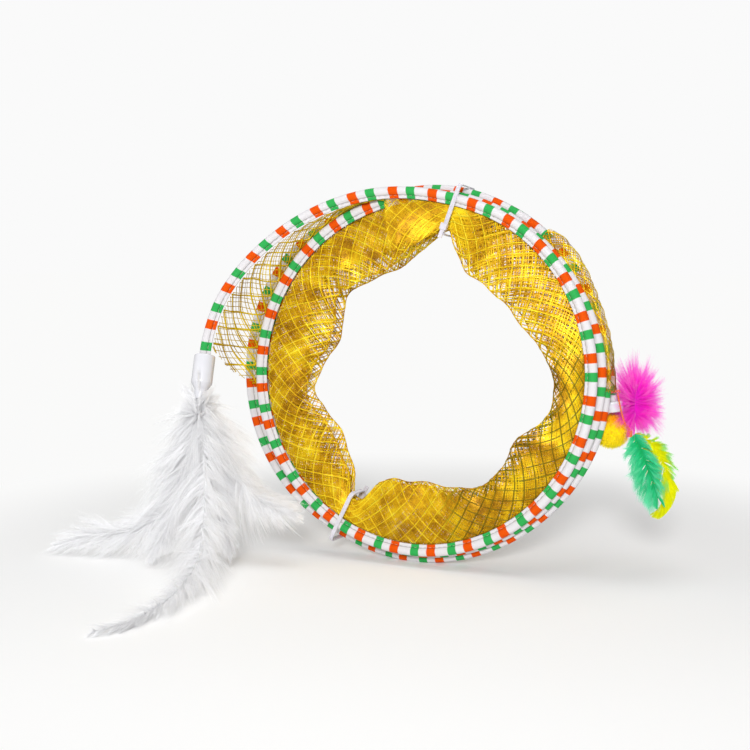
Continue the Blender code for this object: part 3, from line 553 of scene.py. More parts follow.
def fold_surface(turn, v):
    """The netting between two turns: out of the front flange, in to the fold, and back out."""
    first = coil_radius(turn) - FLANGE_EDGE
    last = coil_radius(turn + 1) - FLANGE_EDGE
    front = coil_depth(turn) + NET_EDGE_BESIDE_FLANGE
    rear = coil_depth(turn + 1) - NET_EDGE_BESIDE_FLANGE
    middle = (front + rear) / 2
    loose = gathered(turn)
    start = TOP_TIE_TURN + 0.008
    inner = RING_RADIUS * eased(FOLD_RADIUS_SHARES, start + (turn - start) % 1.0)
    shift = FOLD_SPREAD * loose * (turn - 1)
    loop = FOLD_LOOP * loose + 0.0008 * (1 - loose)
    rows = (
        (first, front),
        (0.65 * first + 0.35 * inner, front + 0.4 * (shift - FOLD_FAN * loose)),
        (0.3 * first + 0.7 * inner, middle + 0.8 * shift - loop),
        (inner, middle + shift),
        (0.3 * last + 0.7 * inner, middle + 0.8 * shift + loop),
        (0.65 * last + 0.35 * inner, rear + 0.4 * (shift + FOLD_FAN * loose)),
        (last, rear),
    )
    radius, depth = across_rows(rows, v)
    deep = np.sin(np.pi * v) ** 1.3
    flute = sum(
        np.sin(2 * np.pi * waves * turn + lean * v + start) * height
        for waves, lean, start, height in FLUTES
    )
    flute = flute * (1 - 0.7 * np.exp(-(((v - 0.5) / 0.10) ** 2)))
    # both ties draw the folds towards them
    drawn_in = 0.009 * np.exp(-((((turn - TOP_TIE_TURN) % 1.0 - 0.013) / 0.013) ** 2))
    beside = (turn - LOWER_TIE_TURN + 0.5) % 1.0 - 0.5
    drawn_in = drawn_in + 0.22 * beside * np.exp(-((beside / 0.026) ** 2))
    turn = turn - drawn_in * deep
    depth = depth + loose * deep * flute
    radius = radius + loose * deep * 0.0006 * np.sin(2 * np.pi * 19.7 * turn + 2.0)
    return in_room(turn, radius, depth)


def round_bead(turn, degrees):
    """Radius and depth of netting that lies on the bead, at an angle from straight outwards."""
    angle = math.radians(degrees)
    clear = BEAD_RADIUS + NET_OFF_BEAD
    radius = coil_radius(turn) + BEAD_OUT + clear * math.cos(angle)
    return radius, coil_depth(turn) + clear * math.sin(angle)


def front_sail_surface(turn, v):
    """Netting from the sprung front end, over the front turn's outside and round to its back."""
    first, last = FRONT_SAIL
    cut = (last - turn) / (last - first)
    lead = last + (SAIL_START_TURN - last) * cut
    rows = [(coil_radius(lead) - FLANGE_EDGE, coil_depth(lead) + NET_EDGE_BESIDE_FLANGE)]
    wrap = [round_bead(turn + 1, degrees) for degrees in (-20, 25, 70, 110)]
    rows.append(((rows[0][0] + wrap[0][0]) / 2 + 0.004 * cut, (rows[0][1] + wrap[0][1]) / 2))
    radius, depth = across_rows(rows + wrap, v)
    across = np.minimum(v * 5 / 2, 1.0)
    ripple = 0.0008 * np.sin(2 * np.pi * 31 * turn) + 0.0012 * np.sin(9 * across + 40 * turn)
    sag = np.sin(np.pi * across) * cut * ripple
    return in_room(lead + (turn - lead) * across, radius + sag, depth + sag)


def rear_sail_surface(turn, v):
    """Netting that slips out between two turns and lies over the next one's outside to its back."""
    bulge = 0.0030 * smooth_step(2.10, 2.13, turn) * (1 - smooth_step(2.135, 2.19, turn))
    lead = coil_radius(turn)
    tail = coil_radius(turn + 1)
    between = (coil_depth(turn - 1) + coil_depth(turn)) / 2
    outside = np.maximum(lead, tail) + STRIP_HALF + 0.0002 + bulge
    rows = [(lead - BEAD_OUT, between), (lead + BEAD_OUT, between), (outside, between)]
    rows += [(outside, coil_depth(turn + 1)), round_bead(turn + 1, 60), round_bead(turn + 1, 110)]
    return in_room(turn, *across_rows(rows, v))


def net_lines(length, width, spacing, slope):
    """Starts and ends, along and across the strip, of parallel threads that lie on the slant."""
    run = width * math.tan(abs(slope))
    sign = 1 if slope > 0 else -1
    ends = []
    for x0 in np.arange(-run, length + run, spacing / math.cos(slope)):
        x1 = x0 + sign * run
        low, high = sorted((bound - x0) / (x1 - x0) for bound in (0.0, length))
        low, high = max(low, 0.0), min(high, 1.0)
        if high - low > SHORTEST_THREAD / width:
            ends.append((x0 + low * (x1 - x0), low, x0 + high * (x1 - x0), high))
    return np.array(ends)


def unit(vectors):
    return vectors / (np.linalg.norm(vectors, axis=-1, keepdims=True) + 1e-12)


def fold_density(turn, v):
    """The share of fine threads seen at a place: the mesh shows single and open near the fold."""
    around = turn % 1.0
    width = eased(OPEN_EDGE_WIDTHS, around)
    edge = 1 - smooth_step(0.75 * width, 1.15 * width, np.abs(v - 0.5))
    sparse = smooth_step(0.05, 0.09, around) * (1 - smooth_step(0.20, 0.25, around))
    return (1 - 0.40 * sparse) * (1 - 0.60 * edge)


def full_density(turn, v):
    return np.ones_like(v)


def ribbon_edges(path, side, width):
    return np.stack((path - side * width / 2, path + side * width / 2), 2)


def rings_round(path, side, up, radius, angles):
    """The corners of a tube at each point of a path, from two directions square to it."""
    cos, sin = np.cos(angles)[:, None], np.sin(angles)[:, None]
    return path[..., None, :] + radius * (cos * side[..., None, :] + sin * up[..., None, :])


def net_share(turn, v):
    """Netting takes its share of the stretch from the two turns that its edges are sewn to."""
    return stretch_share(turn) * (1 - v) + stretch_share(turn + 1) * v


def threads_on(surface, first_turn, length, width, slope, kind, rng, lift, density):
    """Threads laid on a surface: each a flat ribbon (2 sides) or a thin tube (3 sides)."""
    spacing, thickness, sides, stations, jitter = kind
    ends = net_lines(length, width, spacing, slope)
    t = np.linspace(0, 1, stations)
    shake = rng.normal(0, jitter, (len(ends), 1))
    x = ends[:, None, 0] + (ends[:, None, 2] - ends[:, None, 0]) * t + shake
    x = x + jitter * 0.8 * np.sin(t * 9 + rng.uniform(0, 6.28, (len(ends), 1)))
    x = np.clip(x, 0, length)
    v = ends[:, None, 1] + (ends[:, None, 3] - ends[:, None, 1]) * t
    turn = first_turn + x / RING_LENGTH
    middle = surface(turn, v)
    e = 1e-3
    along = surface(turn + e, v) - middle
    across = surface(turn, np.where(v > 0.5, v - e, v + e)) - middle
    across = np.where((v > 0.5)[..., None], -across, across)
    ahead = np.gradient(middle, axis=1)
    side = unit(np.cross(unit(np.cross(along, across)), ahead))
    normal = unit(np.cross(ahead, side))
    middle = middle + lift * normal
    if sides == 2:
        points = ribbon_edges(middle, side, thickness)
    else:
        points = rings_round(middle, side * 1.3, normal, thickness / 2, THREE_CORNERS)
    # fine threads stop where the mesh shows single and open
    rank = (np.arange(len(ends)) * 0.618034) % 1.0
    seen = rank[:, None] < density(turn, v)
    quads = tube_quads(len(ends), stations, sides)[seen[:, 1:] & seen[:, :-1]].reshape(-1, 4)
    used, quads = np.unique(quads, return_inverse=True)
    shares = np.repeat(net_share(turn, v).ravel(), sides)[used]
    along = np.broadcast_to(t, x.shape) * width * 1.4 + rng.uniform(0, 9, (len(ends), 1))
    uv = np.repeat(np.stack((along, v), -1).reshape(-1, 2), sides, 0)[used]
    return points.reshape(-1, 3)[used], quads.reshape(-1, 4), shares, uv


def gold_finish(name, dark, middle, bright, roughness, painted_shade_level=1.0):
    """Gold in patches and painted glints, with painted shade that darkens it to the given level in
    the ring's lower right part.
    """
    made, tree, shader = new_material(
        name, {"Metallic": 0.30, "Roughness": roughness, "Specular IOR Level": 0.2}
    )
    place = object_place(tree)
    patches = noise(tree, place, Scale=55.0, Detail=6.0, Roughness=0.7)
    # painted glints: fine noise along the thread lifts the tone towards bright, standing in for its
    # glints
    glints = noise(tree, strip_place(tree), Scale=420.0, Detail=2.0)
    glints = math_node(tree, "MULTIPLY", glints, 0.55)
    mixed = math_node(tree, "ADD", math_node(tree, "MULTIPLY", patches, 0.75), glints)
    mixed = math_node(tree, "SUBTRACT", mixed, 0.15, clamp=True)
    gold = tones(tree, mixed, (0.38, dark), (0.5, middle), (0.64, bright))
    where = put(tree, "SeparateXYZ", {0: place}).outputs
    # painted shade: the thread is darkened in the ring's lower right part, where it catches no
    # reflection
    right = smooth_range(tree, where["X"], 0.012, 0.035, 0.0, 1.0)
    low = smooth_range(tree, where["Z"], 0.135, 0.155, 1.0, 0.0)
    low = math_node(tree, "MULTIPLY", right, low)
    low = math_node(tree, "ADD", math_node(tree, "MULTIPLY", low, painted_shade_level - 1.0), 1.0)
    fill(tree, shader, {"Base Color": scaled(tree, gold, low)})
    return made


fine_gold, strong_gold, fine_single, strong_single = (
    gold_finish(*row)
    for row in (
        # name, dark, middle and bright tone, roughness, level of the painted shade in the lower
        # right part
        ("fine_gold_thread", (0.22, 0.085, 0.0), (0.66, 0.34, 0.0), (0.94, 0.70, 0.01), 0.45),
        ("strong_gold_thread", (0.66, 0.37, 0.0), (0.92, 0.66, 0.01), (0.97, 0.85, 0.06), 0.36,
         0.26),
        ("fine_thread_in_one_layer", (0.22, 0.12, 0.0), (0.48, 0.31, 0.0), (0.80, 0.60, 0.02), 0.5),
        ("strong_thread_in_one_layer", (0.40, 0.24, 0.0), (0.66, 0.44, 0.0), (0.90, 0.70, 0.02),
         0.4),
    )
)

NETS = (
    # node, surface, first and last turn, width, fine spacing, fine and strong thickness, density,
    # fine and strong finish, seed
    ("net_front_sail", front_sail_surface, *FRONT_SAIL, 0.056, 0.0026, 0.00050, 0.00092,
     full_density, fine_single, strong_single, 1),
    ("net_front_fold", fold_surface, -0.034, 1.0, NET_WIDTH, 0.00135, 0.00048, 0.00066,
     fold_density, fine_gold, strong_gold, 2),
    ("net_back_fold", fold_surface, 1.0, 2.075, NET_WIDTH, 0.00135, 0.00048, 0.00066,
     fold_density, fine_gold, strong_gold, 3),
    ("net_rear_sail", rear_sail_surface, 2.115, 2.258, 0.034, 0.0016, 0.00044, 0.00066,
     full_density, fine_gold, strong_gold, 4),
)
for node, surface, first, last, width, spacing, thin, thick, density, fine, strong, seed in NETS:
    rng = np.random.default_rng(seed)
    length = (last - first) * 2 * math.pi * RING_RADIUS
    for name, look, kind, lift, shown in (
        # kind: spacing, thickness, sides, stations, jitter
        ("fine", fine, (spacing, thin, 2, 30, 0.00025), 0.0, density),
        ("strong", strong, (STRONG_SPACING, thick, 3, 40, 0.00055), 0.00014, full_density),
    ):
        laid = [
            threads_on(surface, first, length, width, sign * SLANT, kind, rng, lift * sign, shown)
            for sign in (1, -1)
        ]
        points, quads, shares, uv = (np.concatenate(pair) for pair in zip(*laid))
        quads[len(laid[0][1]):] += len(laid[0][0])
        net = mesh_piece(f"{node}_{name}_threads", points, quads, look, uv)
        follow_stretch(net, shares)
        if name == "fine":
            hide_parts(node)
    if density is fold_density:
        # where the net folds back its threads crowd together along the crease
        lines, stations = len(CREASE_WAVES), 1500
        turn = np.linspace(first, last, stations) + np.zeros((lines, 1))
        v = 0.003 * np.sin(turn * 2 * np.pi * CREASE_WAVES)
        v = np.linspace(0.482, 0.518, lines)[:, None] + v
        middle = surface(turn, v)
        ahead = unit(np.gradient(middle, axis=1))
        out = unit(middle - np.array(RING_CENTRE))
        points = rings_round(middle, np.cross(ahead, out), out, CREASE_RADIUS, THREE_CORNERS)
        uv = np.repeat(np.stack((turn * 0.7, v), -1).reshape(-1, 2), 3, 0)
        quads = tube_quads(lines, stations, 3)
        crease = mesh_piece(f"{node}_crease_threads", points, quads, fine_gold, uv)
        follow_stretch(crease, np.repeat(net_share(turn, v).ravel(), 3))


# Cable ties. Each is one moulding of milky nylon: a ribbed strap drawn round every turn and the
# gathered net, pulled through the slot of its own head, its end cut off short.
TIE_WIDTH = 0.0027
TIE_WALL = 0.0009
TIE_RIM = 0.00032
RIB_DEPTH = 0.00022
OFF_BINDING = 0.0003
HEAD_SIZE = (0.0046, 0.0034, 0.0044)
TAIL_LENGTH = 0.0075
NYLON_TONES = (0.62, 0.60, 0.67), (0.76, 0.74, 0.79)
NYLON_SOCKETS = {
    "Roughness": 0.28, "Transmission Weight": 0.12, "Subsurface Weight": 0.2,
    "Subsurface Radius": (0.004, 0.004, 0.005), "IOR": 1.5,
}
nylon = speckled("milky_nylon", 260.0, *NYLON_TONES, NYLON_SOCKETS, 0.2)


def rounded_loop(low, high, left, right, corner, per_corner=6):
    points = []
    for x, y, quarter in ((right, high, 0), (left, high, 1), (left, low, 2), (right, low, 3)):
        cx = x - corner if x == right else x + corner
        cy = y - corner if y == high else y + corner
        for k in range(per_corner + 1):
            angle = (quarter + k / per_corner) * math.pi / 2
            points.append((cx + corner * math.cos(angle), cy + corner * math.sin(angle)))
    return np.array(points)


def resample(loop, step):
    closed = np.concatenate((loop, loop[:1]))
    run = length_along(closed)
    count = int(run[-1] / step)
    at = np.arange(count) * run[-1] / count
    return np.stack([np.interp(at, run, closed[:, k]) for k in (0, 1)], -1)


def block(name, size):
    deselect_all()
    bpy.ops.mesh.primitive_cube_add(size=1)
    made = bpy.context.object
    made.name = name
    made.data.transform(Matrix.Diagonal((*size, 1.0)))
    return made


def add_tie(node, turn, strands, slant, head_in_front):
    outer = float(coil_radius(turn + np.arange(strands)).max()) + STRIP_HALF + OFF_BINDING
    inner = RING_RADIUS * 0.80
    front = float(coil_depth(turn)) - BEAD_RADIUS - OFF_BINDING
    rear = float(coil_depth(turn + strands - 1)) + BEAD_RADIUS + OFF_BINDING
    path = resample(rounded_loop(front, rear, inner, outer, 0.0031), 0.00045)
    count = len(path)
    ahead = np.roll(path, -1, 0) - np.roll(path, 1, 0)
    ahead /= np.linalg.norm(ahead, axis=1, keepdims=True)
    out = np.stack((ahead[:, 1], -ahead[:, 0]), -1)
    ribbed = np.where(np.arange(count) % 2 == 0, 0.0, -RIB_DEPTH)
    edge = path + out * TIE_WALL
    inlay = path + out * (TIE_WALL + ribbed)[:, None]
    half = TIE_WIDTH / 2
    corners = [(path, -half), (edge, -half), (edge, TIE_RIM - half), (inlay, TIE_RIM - half)]
    corners += [(spots, -z) for spots, z in reversed(corners)]
    points = np.stack([np.column_stack((spots, np.full(count, z))) for spots, z in corners], 1)
    quads = tube_quads(1, count + 1, len(corners)) % (count * len(corners))
    strap = mesh_piece(f"{node}_strap", points, quads, nylon)
    for face in strap.data.polygons:
        face.use_smooth = False
    # the head, a rounded block with its slot, and the cut tail through it
    face_at = front - TIE_WALL if head_in_front else rear + TIE_WALL
    side = -1 if head_in_front else 1
    head_mid = (inner + HEAD_SIZE[0], face_at + side * HEAD_SIZE[1] / 3)
    head = block(f"{node}_head", HEAD_SIZE)
    bpy.ops.object.mode_set(mode="EDIT")
    shape = bmesh.from_edit_mesh(head.data)
    for f in shape.faces:
        f.select = abs(f.normal.x) > 0.9
    bmesh.update_edit_mesh(head.data)
    bpy.ops.mesh.select_mode(type="FACE")
    bpy.ops.mesh.inset(thickness=0.0007, depth=-0.0009)
    bpy.ops.object.mode_set(mode="OBJECT")
    soften = head.modifiers.new("rounded", "BEVEL")
    soften.width = 0.0004
    soften.segments = 2
    bpy.ops.object.modifier_apply(modifier=soften.name)
    head.data.transform(Matrix.Translation((*head_mid, 0.0)))
    tail = block(f"{node}_tail", (TAIL_LENGTH, TIE_WALL, TIE_WIDTH))
    bpy.ops.object.mode_set(mode="EDIT")
    bpy.ops.mesh.select_all(action="SELECT")
    bpy.ops.mesh.subdivide(number_cuts=6)
    bpy.ops.object.mode_set(mode="OBJECT")
    for vertex in tail.data.vertices:
        share = vertex.co.x / TAIL_LENGTH
        vertex.co.y += side * 0.0016 * max(0.0, -share) ** 2
        if abs(vertex.co.z) < TIE_WIDTH / 3 and round((share + 0.5) * 7) % 2:
            vertex.co.y *= 0.8
    soften = tail.modifiers.new("rounded", "BEVEL")
    soften.width = 0.0001
    soften.limit_method = "ANGLE"
    bpy.ops.object.modifier_apply(modifier=soften.name)
    tail_mid = (head_mid[0] - 0.0037, face_at + side * HEAD_SIZE[1] / 2, 0.0)
    tail.data.transform(Matrix.Translation(tail_mid))
    # from the loop's own plane (radius, depth, along) to the room
    angle = 2 * math.pi * turn
    outward = Vector((math.sin(angle), -math.cos(angle), 0.0))
    along = Vector((0, 0, 1)).cross(outward)
    plane = Matrix((outward, (0, 0, 1), -along)).transposed().to_4x4()
    pivot = Matrix.Translation(outward * outer)
    tilt = pivot @ Matrix.Rotation(slant, 4, "Z") @ pivot.inverted()
    lean = Matrix.Rotation(-math.pi / 2 - COIL_LEAN, 4, "X")
    room = Matrix.Translation(RING_CENTRE) @ lean
    for piece in (head, tail):
        piece.data.materials.append(nylon)
    for piece in (strap, head, tail):
        piece.data.transform(room @ tilt @ plane)
        close_ends(piece)
        # each piece is given the share of the turn that it lies on
        follow_stretch(piece, np.full(len(piece.data.vertices), stretch_share(turn)))
    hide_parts(node)


add_tie("top_tie", TOP_TIE_TURN + 0.003, 4, math.radians(6), True)
add_tie("lower_tie", LOWER_TIE_TURN, 3, math.radians(-2), False)


# Front socket. A glossy white plastic moulding pushed over the end of the binding: a plain barrel,
# a short cone and a neck that holds the plumes' quills.
GLOSS_TONES = (0.60, 0.60, 0.64), (0.66, 0.66, 0.69)
GLOSS_SOCKETS = {"Roughness": 0.22, "Coat Weight": 0.3, "Coat Roughness": 0.1}
gloss = speckled("glossy_white_plastic", 180.0, *GLOSS_TONES, GLOSS_SOCKETS, 0.08)
SOCKET_OVER_END = 0.004
SOCKET_LENGTH = 0.0298


def coil_spot(turn, outward=0.0):
    return Vector(in_room(turn, coil_radius(turn) + outward, coil_depth(turn)).tolist())


def wire_way(turn, inward):
    return (coil_spot(turn, BEAD_OUT) - coil_spot(turn + inward, BEAD_OUT)).normalized()


def standing_on(point, direction, towards=Vector((0, -1, 0))):
    up = -direction.normalized()
    across = up.cross(towards).normalized()
    front = across.cross(up)
    return Matrix.Translation(point) @ Matrix((across, -front, up)).transposed().to_4x4()


def turned_piece(name, profile, look, matrix, steps=64):
    """A piece turned about its own axis in edit mode, from the profile of its wall."""
    deselect_all()
    data = bpy.data.meshes.new(name)
    made = bpy.data.objects.new(name, data)
    bpy.context.scene.collection.objects.link(made)
    bpy.context.view_layer.objects.active = made
    made.select_set(True)
    shape = bmesh.new()
    spots = [shape.verts.new((radius, 0.0, height)) for radius, height in profile]
    for upper, lower in zip(spots, spots[1:]):
        shape.edges.new((upper, lower))
    shape.to_mesh(data)
    shape.free()
    bpy.ops.object.mode_set(mode="EDIT")
    bpy.ops.mesh.select_all(action="SELECT")
    bpy.ops.mesh.spin(steps=steps, angle=2 * math.pi, center=(0, 0, 0), axis=(0, 0, 1))
    bpy.ops.mesh.select_all(action="SELECT")
    bpy.ops.mesh.remove_doubles(threshold=0.00001)
    bpy.ops.mesh.normals_make_consistent(inside=False)
    bpy.ops.object.mode_set(mode="OBJECT")
    deselect_all()
    made.select_set(True)
    bpy.ops.object.shade_smooth_by_angle(angle=math.radians(35))
    data.materials.append(look)
    data.transform(matrix)
    return made


front_way = wire_way(FRONT_END_TURN, 0.01)
SOCKET_TOP = coil_spot(FRONT_END_TURN) - SOCKET_OVER_END * front_way
NECK_END = SOCKET_TOP + SOCKET_LENGTH * front_way
profile = [
    # (radius, height): the bore, the rim, the barrel, the cone, the neck and the hole for quills
    (0.0, -0.010), (0.0048, -0.010), (0.0048, -0.0003), (0.0051, 0.0), (0.0064, 0.0),
    (0.0067, -0.0001), (0.00688, -0.0003), (0.00695, -0.0007), (0.00695, -0.0180),
    (0.00690, -0.0186), (0.0067, -0.0191), (0.0050, -0.0219), (0.0045, -0.0226),
    (0.00420, -0.0233), (0.0041, -0.0240), (0.0041, -0.0292), (0.0040, -0.0296),
    (0.0037, -0.0298), (0.0033, -0.0298), (0.0032, -0.0296), (0.0032, -0.0208), (0.0, -0.0208),
]
matrix = standing_on(SOCKET_TOP, front_way)
socket = turned_piece("front_socket_moulding", profile, gloss, matrix)
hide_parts("front_socket")
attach(socket, "coil")


# Plumes. Five white down feathers, each a thin quill with thousands of soft loose barbs, glued by
# their quills in the socket's neck so that they fan out downwards.
PLUMES = (
    # node, length, longest barb, the way its flat face looks, spine in shares of the length
    ("plume_front", 0.224, 0.031, (0, -0.60, 0.80),
     ((0, 0, 0), (0.028, -0.022, -0.115), (0.050, -0.053, -0.226), (0.074, -0.098, -0.321),
      (0.132, -0.243, -0.424), (0.179, -0.464, -0.458), (0.164, -0.605, -0.468),
      (0.126, -0.694, -0.472))),
    ("plume_middle_left", 0.1091, 0.026, (0, -0.97, 0.24),
     ((0, 0, 0), (-0.033, -0.036, -0.274), (-0.092, -0.063, -0.549), (-0.141, -0.137, -0.748),
      (-0.20, -0.247, -0.931))),
    ("plume_left", 0.1644, 0.036, (0, -0.97, 0.24),
     ((0, 0, 0), (-0.054, -0.020, -0.214), (-0.131, -0.024, -0.431), (-0.267, -0.048, -0.546),
      (-0.444, -0.097, -0.569), (-0.611, -0.145, -0.622))),
    ("plume_middle_right", 0.1042, 0.021, (0, -0.97, 0.24),
     ((0, 0, 0), (0.084, -0.008, -0.314), (0.143, -0.018, -0.627), (0.227, -0.050, -0.972))),
    ("plume_right", 0.1046, 0.030, (0, -0.97, 0.24),
     ((0, 0, 0), (0.110, 0.022, -0.25), (0.177, 0.052, -0.441), (0.316, 0.078, -0.601),
      (0.608, 0.090, -0.70))),
)
# how long the barbs are along a plume, as shares of the longest
PLUME_OUTLINE = (
    (0, 0.45), (0.05, 0.65), (0.14, 0.95), (0.35, 1.0), (0.6, 0.78), (0.85, 0.55), (1, 0.14),
)
QUILL_IN_NECK = 0.007
QUILL_STEP = 0.0011
QUILL_WIDTH = 0.0006
QUILL_SIDES = 6
BARB_STATIONS = 8
OVER_TABLE = 0.0006


def curve_through(knots, count):
    knots = np.array(knots, float)
    run = length_along(knots)
    run /= run[-1]
    at = np.linspace(0, 1, count)
    return np.stack([eased(list(zip(run, knots[:, k])), at) for k in range(3)], -1)


def ribbons(name, path, side, width, look, uv=None):
    """One thin flat barb or hair along each path; none of them reaches the table."""
    points = ribbon_edges(path, side, width)
    points[..., 2] = np.maximum(points[..., 2], OVER_TABLE)
    if uv is not None:
        uv = np.repeat(uv.reshape(-1, 2), 2, 0)
    return mesh_piece(name, points, tube_quads(*path.shape[:2], 2), look, uv)


def feather(name, spine, facing, barb_length, barbs, look, quill_look, rng, outline, slants, start,
            thickness, fluff, droop, wisps, wild, cling, other_side, smooth_from):
    """A quill and its barbs, tapered ribbons that leave it on the slant and cling in wisps."""
    facing = unit(np.array(facing, float))
    ahead = unit(np.gradient(spine, axis=0))
    across = unit(np.cross(ahead, facing))
    face = unit(np.cross(across, ahead))
    share = np.sort(rng.uniform(0, 1, barbs) ** 0.92)
    place = start + (1 - start) * share
    sign = np.where(rng.uniform(0, 1, barbs) < 0.5, -1.0, 1.0)
    grid = np.linspace(0, 1, len(spine))

    def along(values, at):
        return np.stack([np.interp(at, grid, values[:, k]) for k in range(3)], -1)

    root = along(spine, place)
    a, c, f = (unit(along(values, place)) for values in (ahead, across, face))
    wisp = np.minimum(np.floor(share * wisps).astype(int), wisps - 1)
    wisp_root = along(spine, start + (1 - start) * (wisp + 0.5) / wisps)
    wisp = wisp * 2 + (sign > 0)
    own = rng.normal(0, 1, (5, 2 * wisps))
    reach = np.interp(place, *zip(*outline))
    soft = 1 - smooth_step(smooth_from, smooth_from + 0.05, place)
    other = other_side + (1 - other_side) * (1 - soft)
    length = barb_length * reach * np.where(sign > 0, 1.0, other)
    uneven = np.clip(0.17 * own[0][wisp] - 0.12, -0.55, 0.25) + rng.uniform(-0.25, 0.03, barbs)
    length = length * (1 + soft * uneven)
    stray = soft * (wild * own[1][wisp] + rng.normal(0, 0.35 * wild, barbs))
    angle = np.radians(slants[0] + (slants[1] - slants[0]) * share + stray)
    lift = fluff * soft * (0.85 * own[2][wisp] + 0.25 * rng.normal(0, 1, barbs))
    out = c * (sign * np.sin(angle))[:, None] + a * np.cos(angle)[:, None] + f * lift[:, None]
    out = unit(out)
    t = np.linspace(0, 1, BARB_STATIONS)
    bend = droop + 0.22 * soft * own[3][wisp] + rng.normal(0, 0.04, barbs)
    wave = rng.normal(0, 0.03, (barbs, 1)) * np.sin(t * rng.uniform(3, 8, (barbs, 1)))
    # straight out, then drawn to its wisp, bent to the tip, hanging a little and waved
    path = root[:, None, :]
    for way, amount in (
        (out, length[:, None] * t),
        (wisp_root - root, cling * soft[:, None] * t**1.3),
        (a, length[:, None] * bend[:, None] * t**2),
        (np.array([(0, 0, -1.0)]), length[:, None] * 0.10 * t**2),
        (f, length[:, None] * wave),
    ):
        path = path + way[:, None, :] * amount[..., None]
    step = unit(np.gradient(path, axis=1))
    turn = rng.normal(0, 0.5, barbs)
    normal = unit(f[:, None, :] + turn[:, None, None] * c[:, None, :])
    side = unit(np.cross(step, normal))
    width = thickness * (1 - 0.85 * t**1.5)[None, :, None] * rng.uniform(0.7, 1.3, (barbs, 1, 1))
    # painted shade for each wisp, read by the finish to darken it
    shade = np.clip(0.5 + 0.28 * own[4][wisp] + rng.normal(0, 0.1, barbs), 0, 1)
    uv = np.stack(np.broadcast_arrays(t * (0.4 + 0.6 * soft[:, None]), shade[:, None]), -1)
    vane = ribbons(f"{name}_barbs", path, side, width, look, uv)
    taper = (QUILL_WIDTH / 2 * (1 - 0.85 * grid))[:, None, None]
    rings = rings_round(spine, across, face, taper, angles_round(QUILL_SIDES))
    quads = tube_quads(1, len(spine), QUILL_SIDES)
    shaft = mesh_piece(f"{name}_quill", rings, quads, quill_look)
    close_ends(shaft)
    return vane, shaft


def barb_finish(name, root_colour, middle_colour, tip_colour, sheen, through, contrast):
    """Down that changes colour from root to tip and lets some of the light through, with painted
    shade: each wisp is darkened by its own share of contrast.
    """
    sockets = {"Roughness": 0.85, "Sheen Weight": sheen, "Sheen Roughness": 0.5}
    made, tree, shader = new_material(name, {**sockets, "Specular IOR Level": 0.15})
    split = put(tree, "SeparateXYZ", {0: strip_place(tree)}).outputs
    patch = wander(tree, noise(tree, object_place(tree), Scale=220.0, Detail=3.0), 0.7)
    mixed = math_node(tree, "ADD", split["X"], patch, clamp=True)
    tone = tones(tree, mixed, (0.0, root_colour), (0.5, middle_colour), (1.0, tip_colour))
    # painted shade: the second coordinate darkens each wisp by up to contrast, standing in for the
    # shade between wisps
    share = math_node(tree, "MULTIPLY", split["Y"], contrast)
    wisp_shaded_tone = scaled(tree, tone, math_node(tree, "ADD", share, 1 - contrast))
    fill(tree, shader, {"Base Color": wisp_shaded_tone})
    glow = put(tree, "BsdfTranslucent", {"Color": wisp_shaded_tone})
    both = put(tree, "MixShader", {0: through, 1: shader.outputs[0], 2: glow.outputs[0]})
    fill(tree, tree.nodes["Material Output"], {0: both.outputs[0]})
    return made


white_barbs = barb_finish(
    "white_down", (0.98, 0.98, 0.99), (0.985, 0.985, 0.995), (0.99, 0.99, 1.0), 0.6, 0.42, 0.16
)
white_quill = barb_finish(
    "white_quill", (0.93, 0.93, 0.93), (0.95, 0.95, 0.95), (0.96, 0.96, 0.96), 0.2, 0.3, 0.2
)

stack = Vector((0, -0.97, 0.24)).normalized()
root = NECK_END - QUILL_IN_NECK * front_way
for k, (node, length, longest, facing, shares) in enumerate(PLUMES):
    start = root + ((len(PLUMES) - 1) / 2 - k) * QUILL_STEP * stack
    bare = start + QUILL_IN_NECK * front_way
    knots = [start, start + QUILL_IN_NECK * front_way / 2]
    spine = curve_through(knots + [bare + length * Vector(row) for row in shares], 60)
    rng = np.random.default_rng(10 + k)
    vane, shaft = feather(
        node, spine, facing, longest, 4800, white_barbs, white_quill, rng, PLUME_OUTLINE,
        slants=(62, 17), start=0.04, thickness=0.00024, fluff=0.60, droop=0.34, wisps=180,
        wild=15, cling=0.8, other_side=1.0, smooth_from=1.1,
    )
    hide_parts(node)
    for piece in (vane, shaft):
        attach(piece, "coil")

# down at the roots, curling up and out round the socket's neck in small wisps
rng = np.random.default_rng(21)
count, wisps = 3600, 150
wisp = rng.integers(0, wisps, count)
angle = rng.uniform(0, 2 * math.pi, wisps)
own = rng.normal(0, 1, (4, wisps))
way = unit(np.stack((np.cos(angle), 0.8 * np.sin(angle), 0.05 + 0.45 * own[0]), -1))
out = way[wisp] + rng.normal(0, 0.10, (count, 3))
t = np.linspace(0, 1, BARB_STATIONS)
length = 0.0135 * np.clip(1 + 0.25 * own[1], 0.5, 1.5)[wisp] * rng.uniform(0.7, 1.0, count)
base = np.array(NECK_END) + np.array(front_way) * rng.uniform(-0.001, 0.012, (wisps, 1))
start = base[wisp] + rng.normal(0, 0.0006, (count, 3))
path = start[:, None, :] + out[:, None, :] * (length[:, None] * t)[..., None]
middle = (base + way * 0.013)[wisp]
path = path + (middle - path[:, -1])[:, None, :] * (0.6 * t**1.5)[None, :, None]
rise = length[:, None] * (0.25 + 0.2 * own[2][wisp][:, None]) * t**2
path = path + np.array((0, 0, 1.0)) * rise[..., None]
side = unit(np.cross(np.gradient(path, axis=1), rng.normal(0, 1, (count, 1, 3))))
width = 0.00022 * (1 - 0.85 * t**1.5)[None, :, None]
# painted shade for each wisp, read by the finish to darken it
shade = np.clip(0.5 + 0.28 * own[3][wisp], 0, 1)
uv = np.stack(np.broadcast_arrays(t, shade[:, None]), -1)
down = ribbons("plume_root_down", path, side, width, white_barbs, uv)
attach(down, "coil")


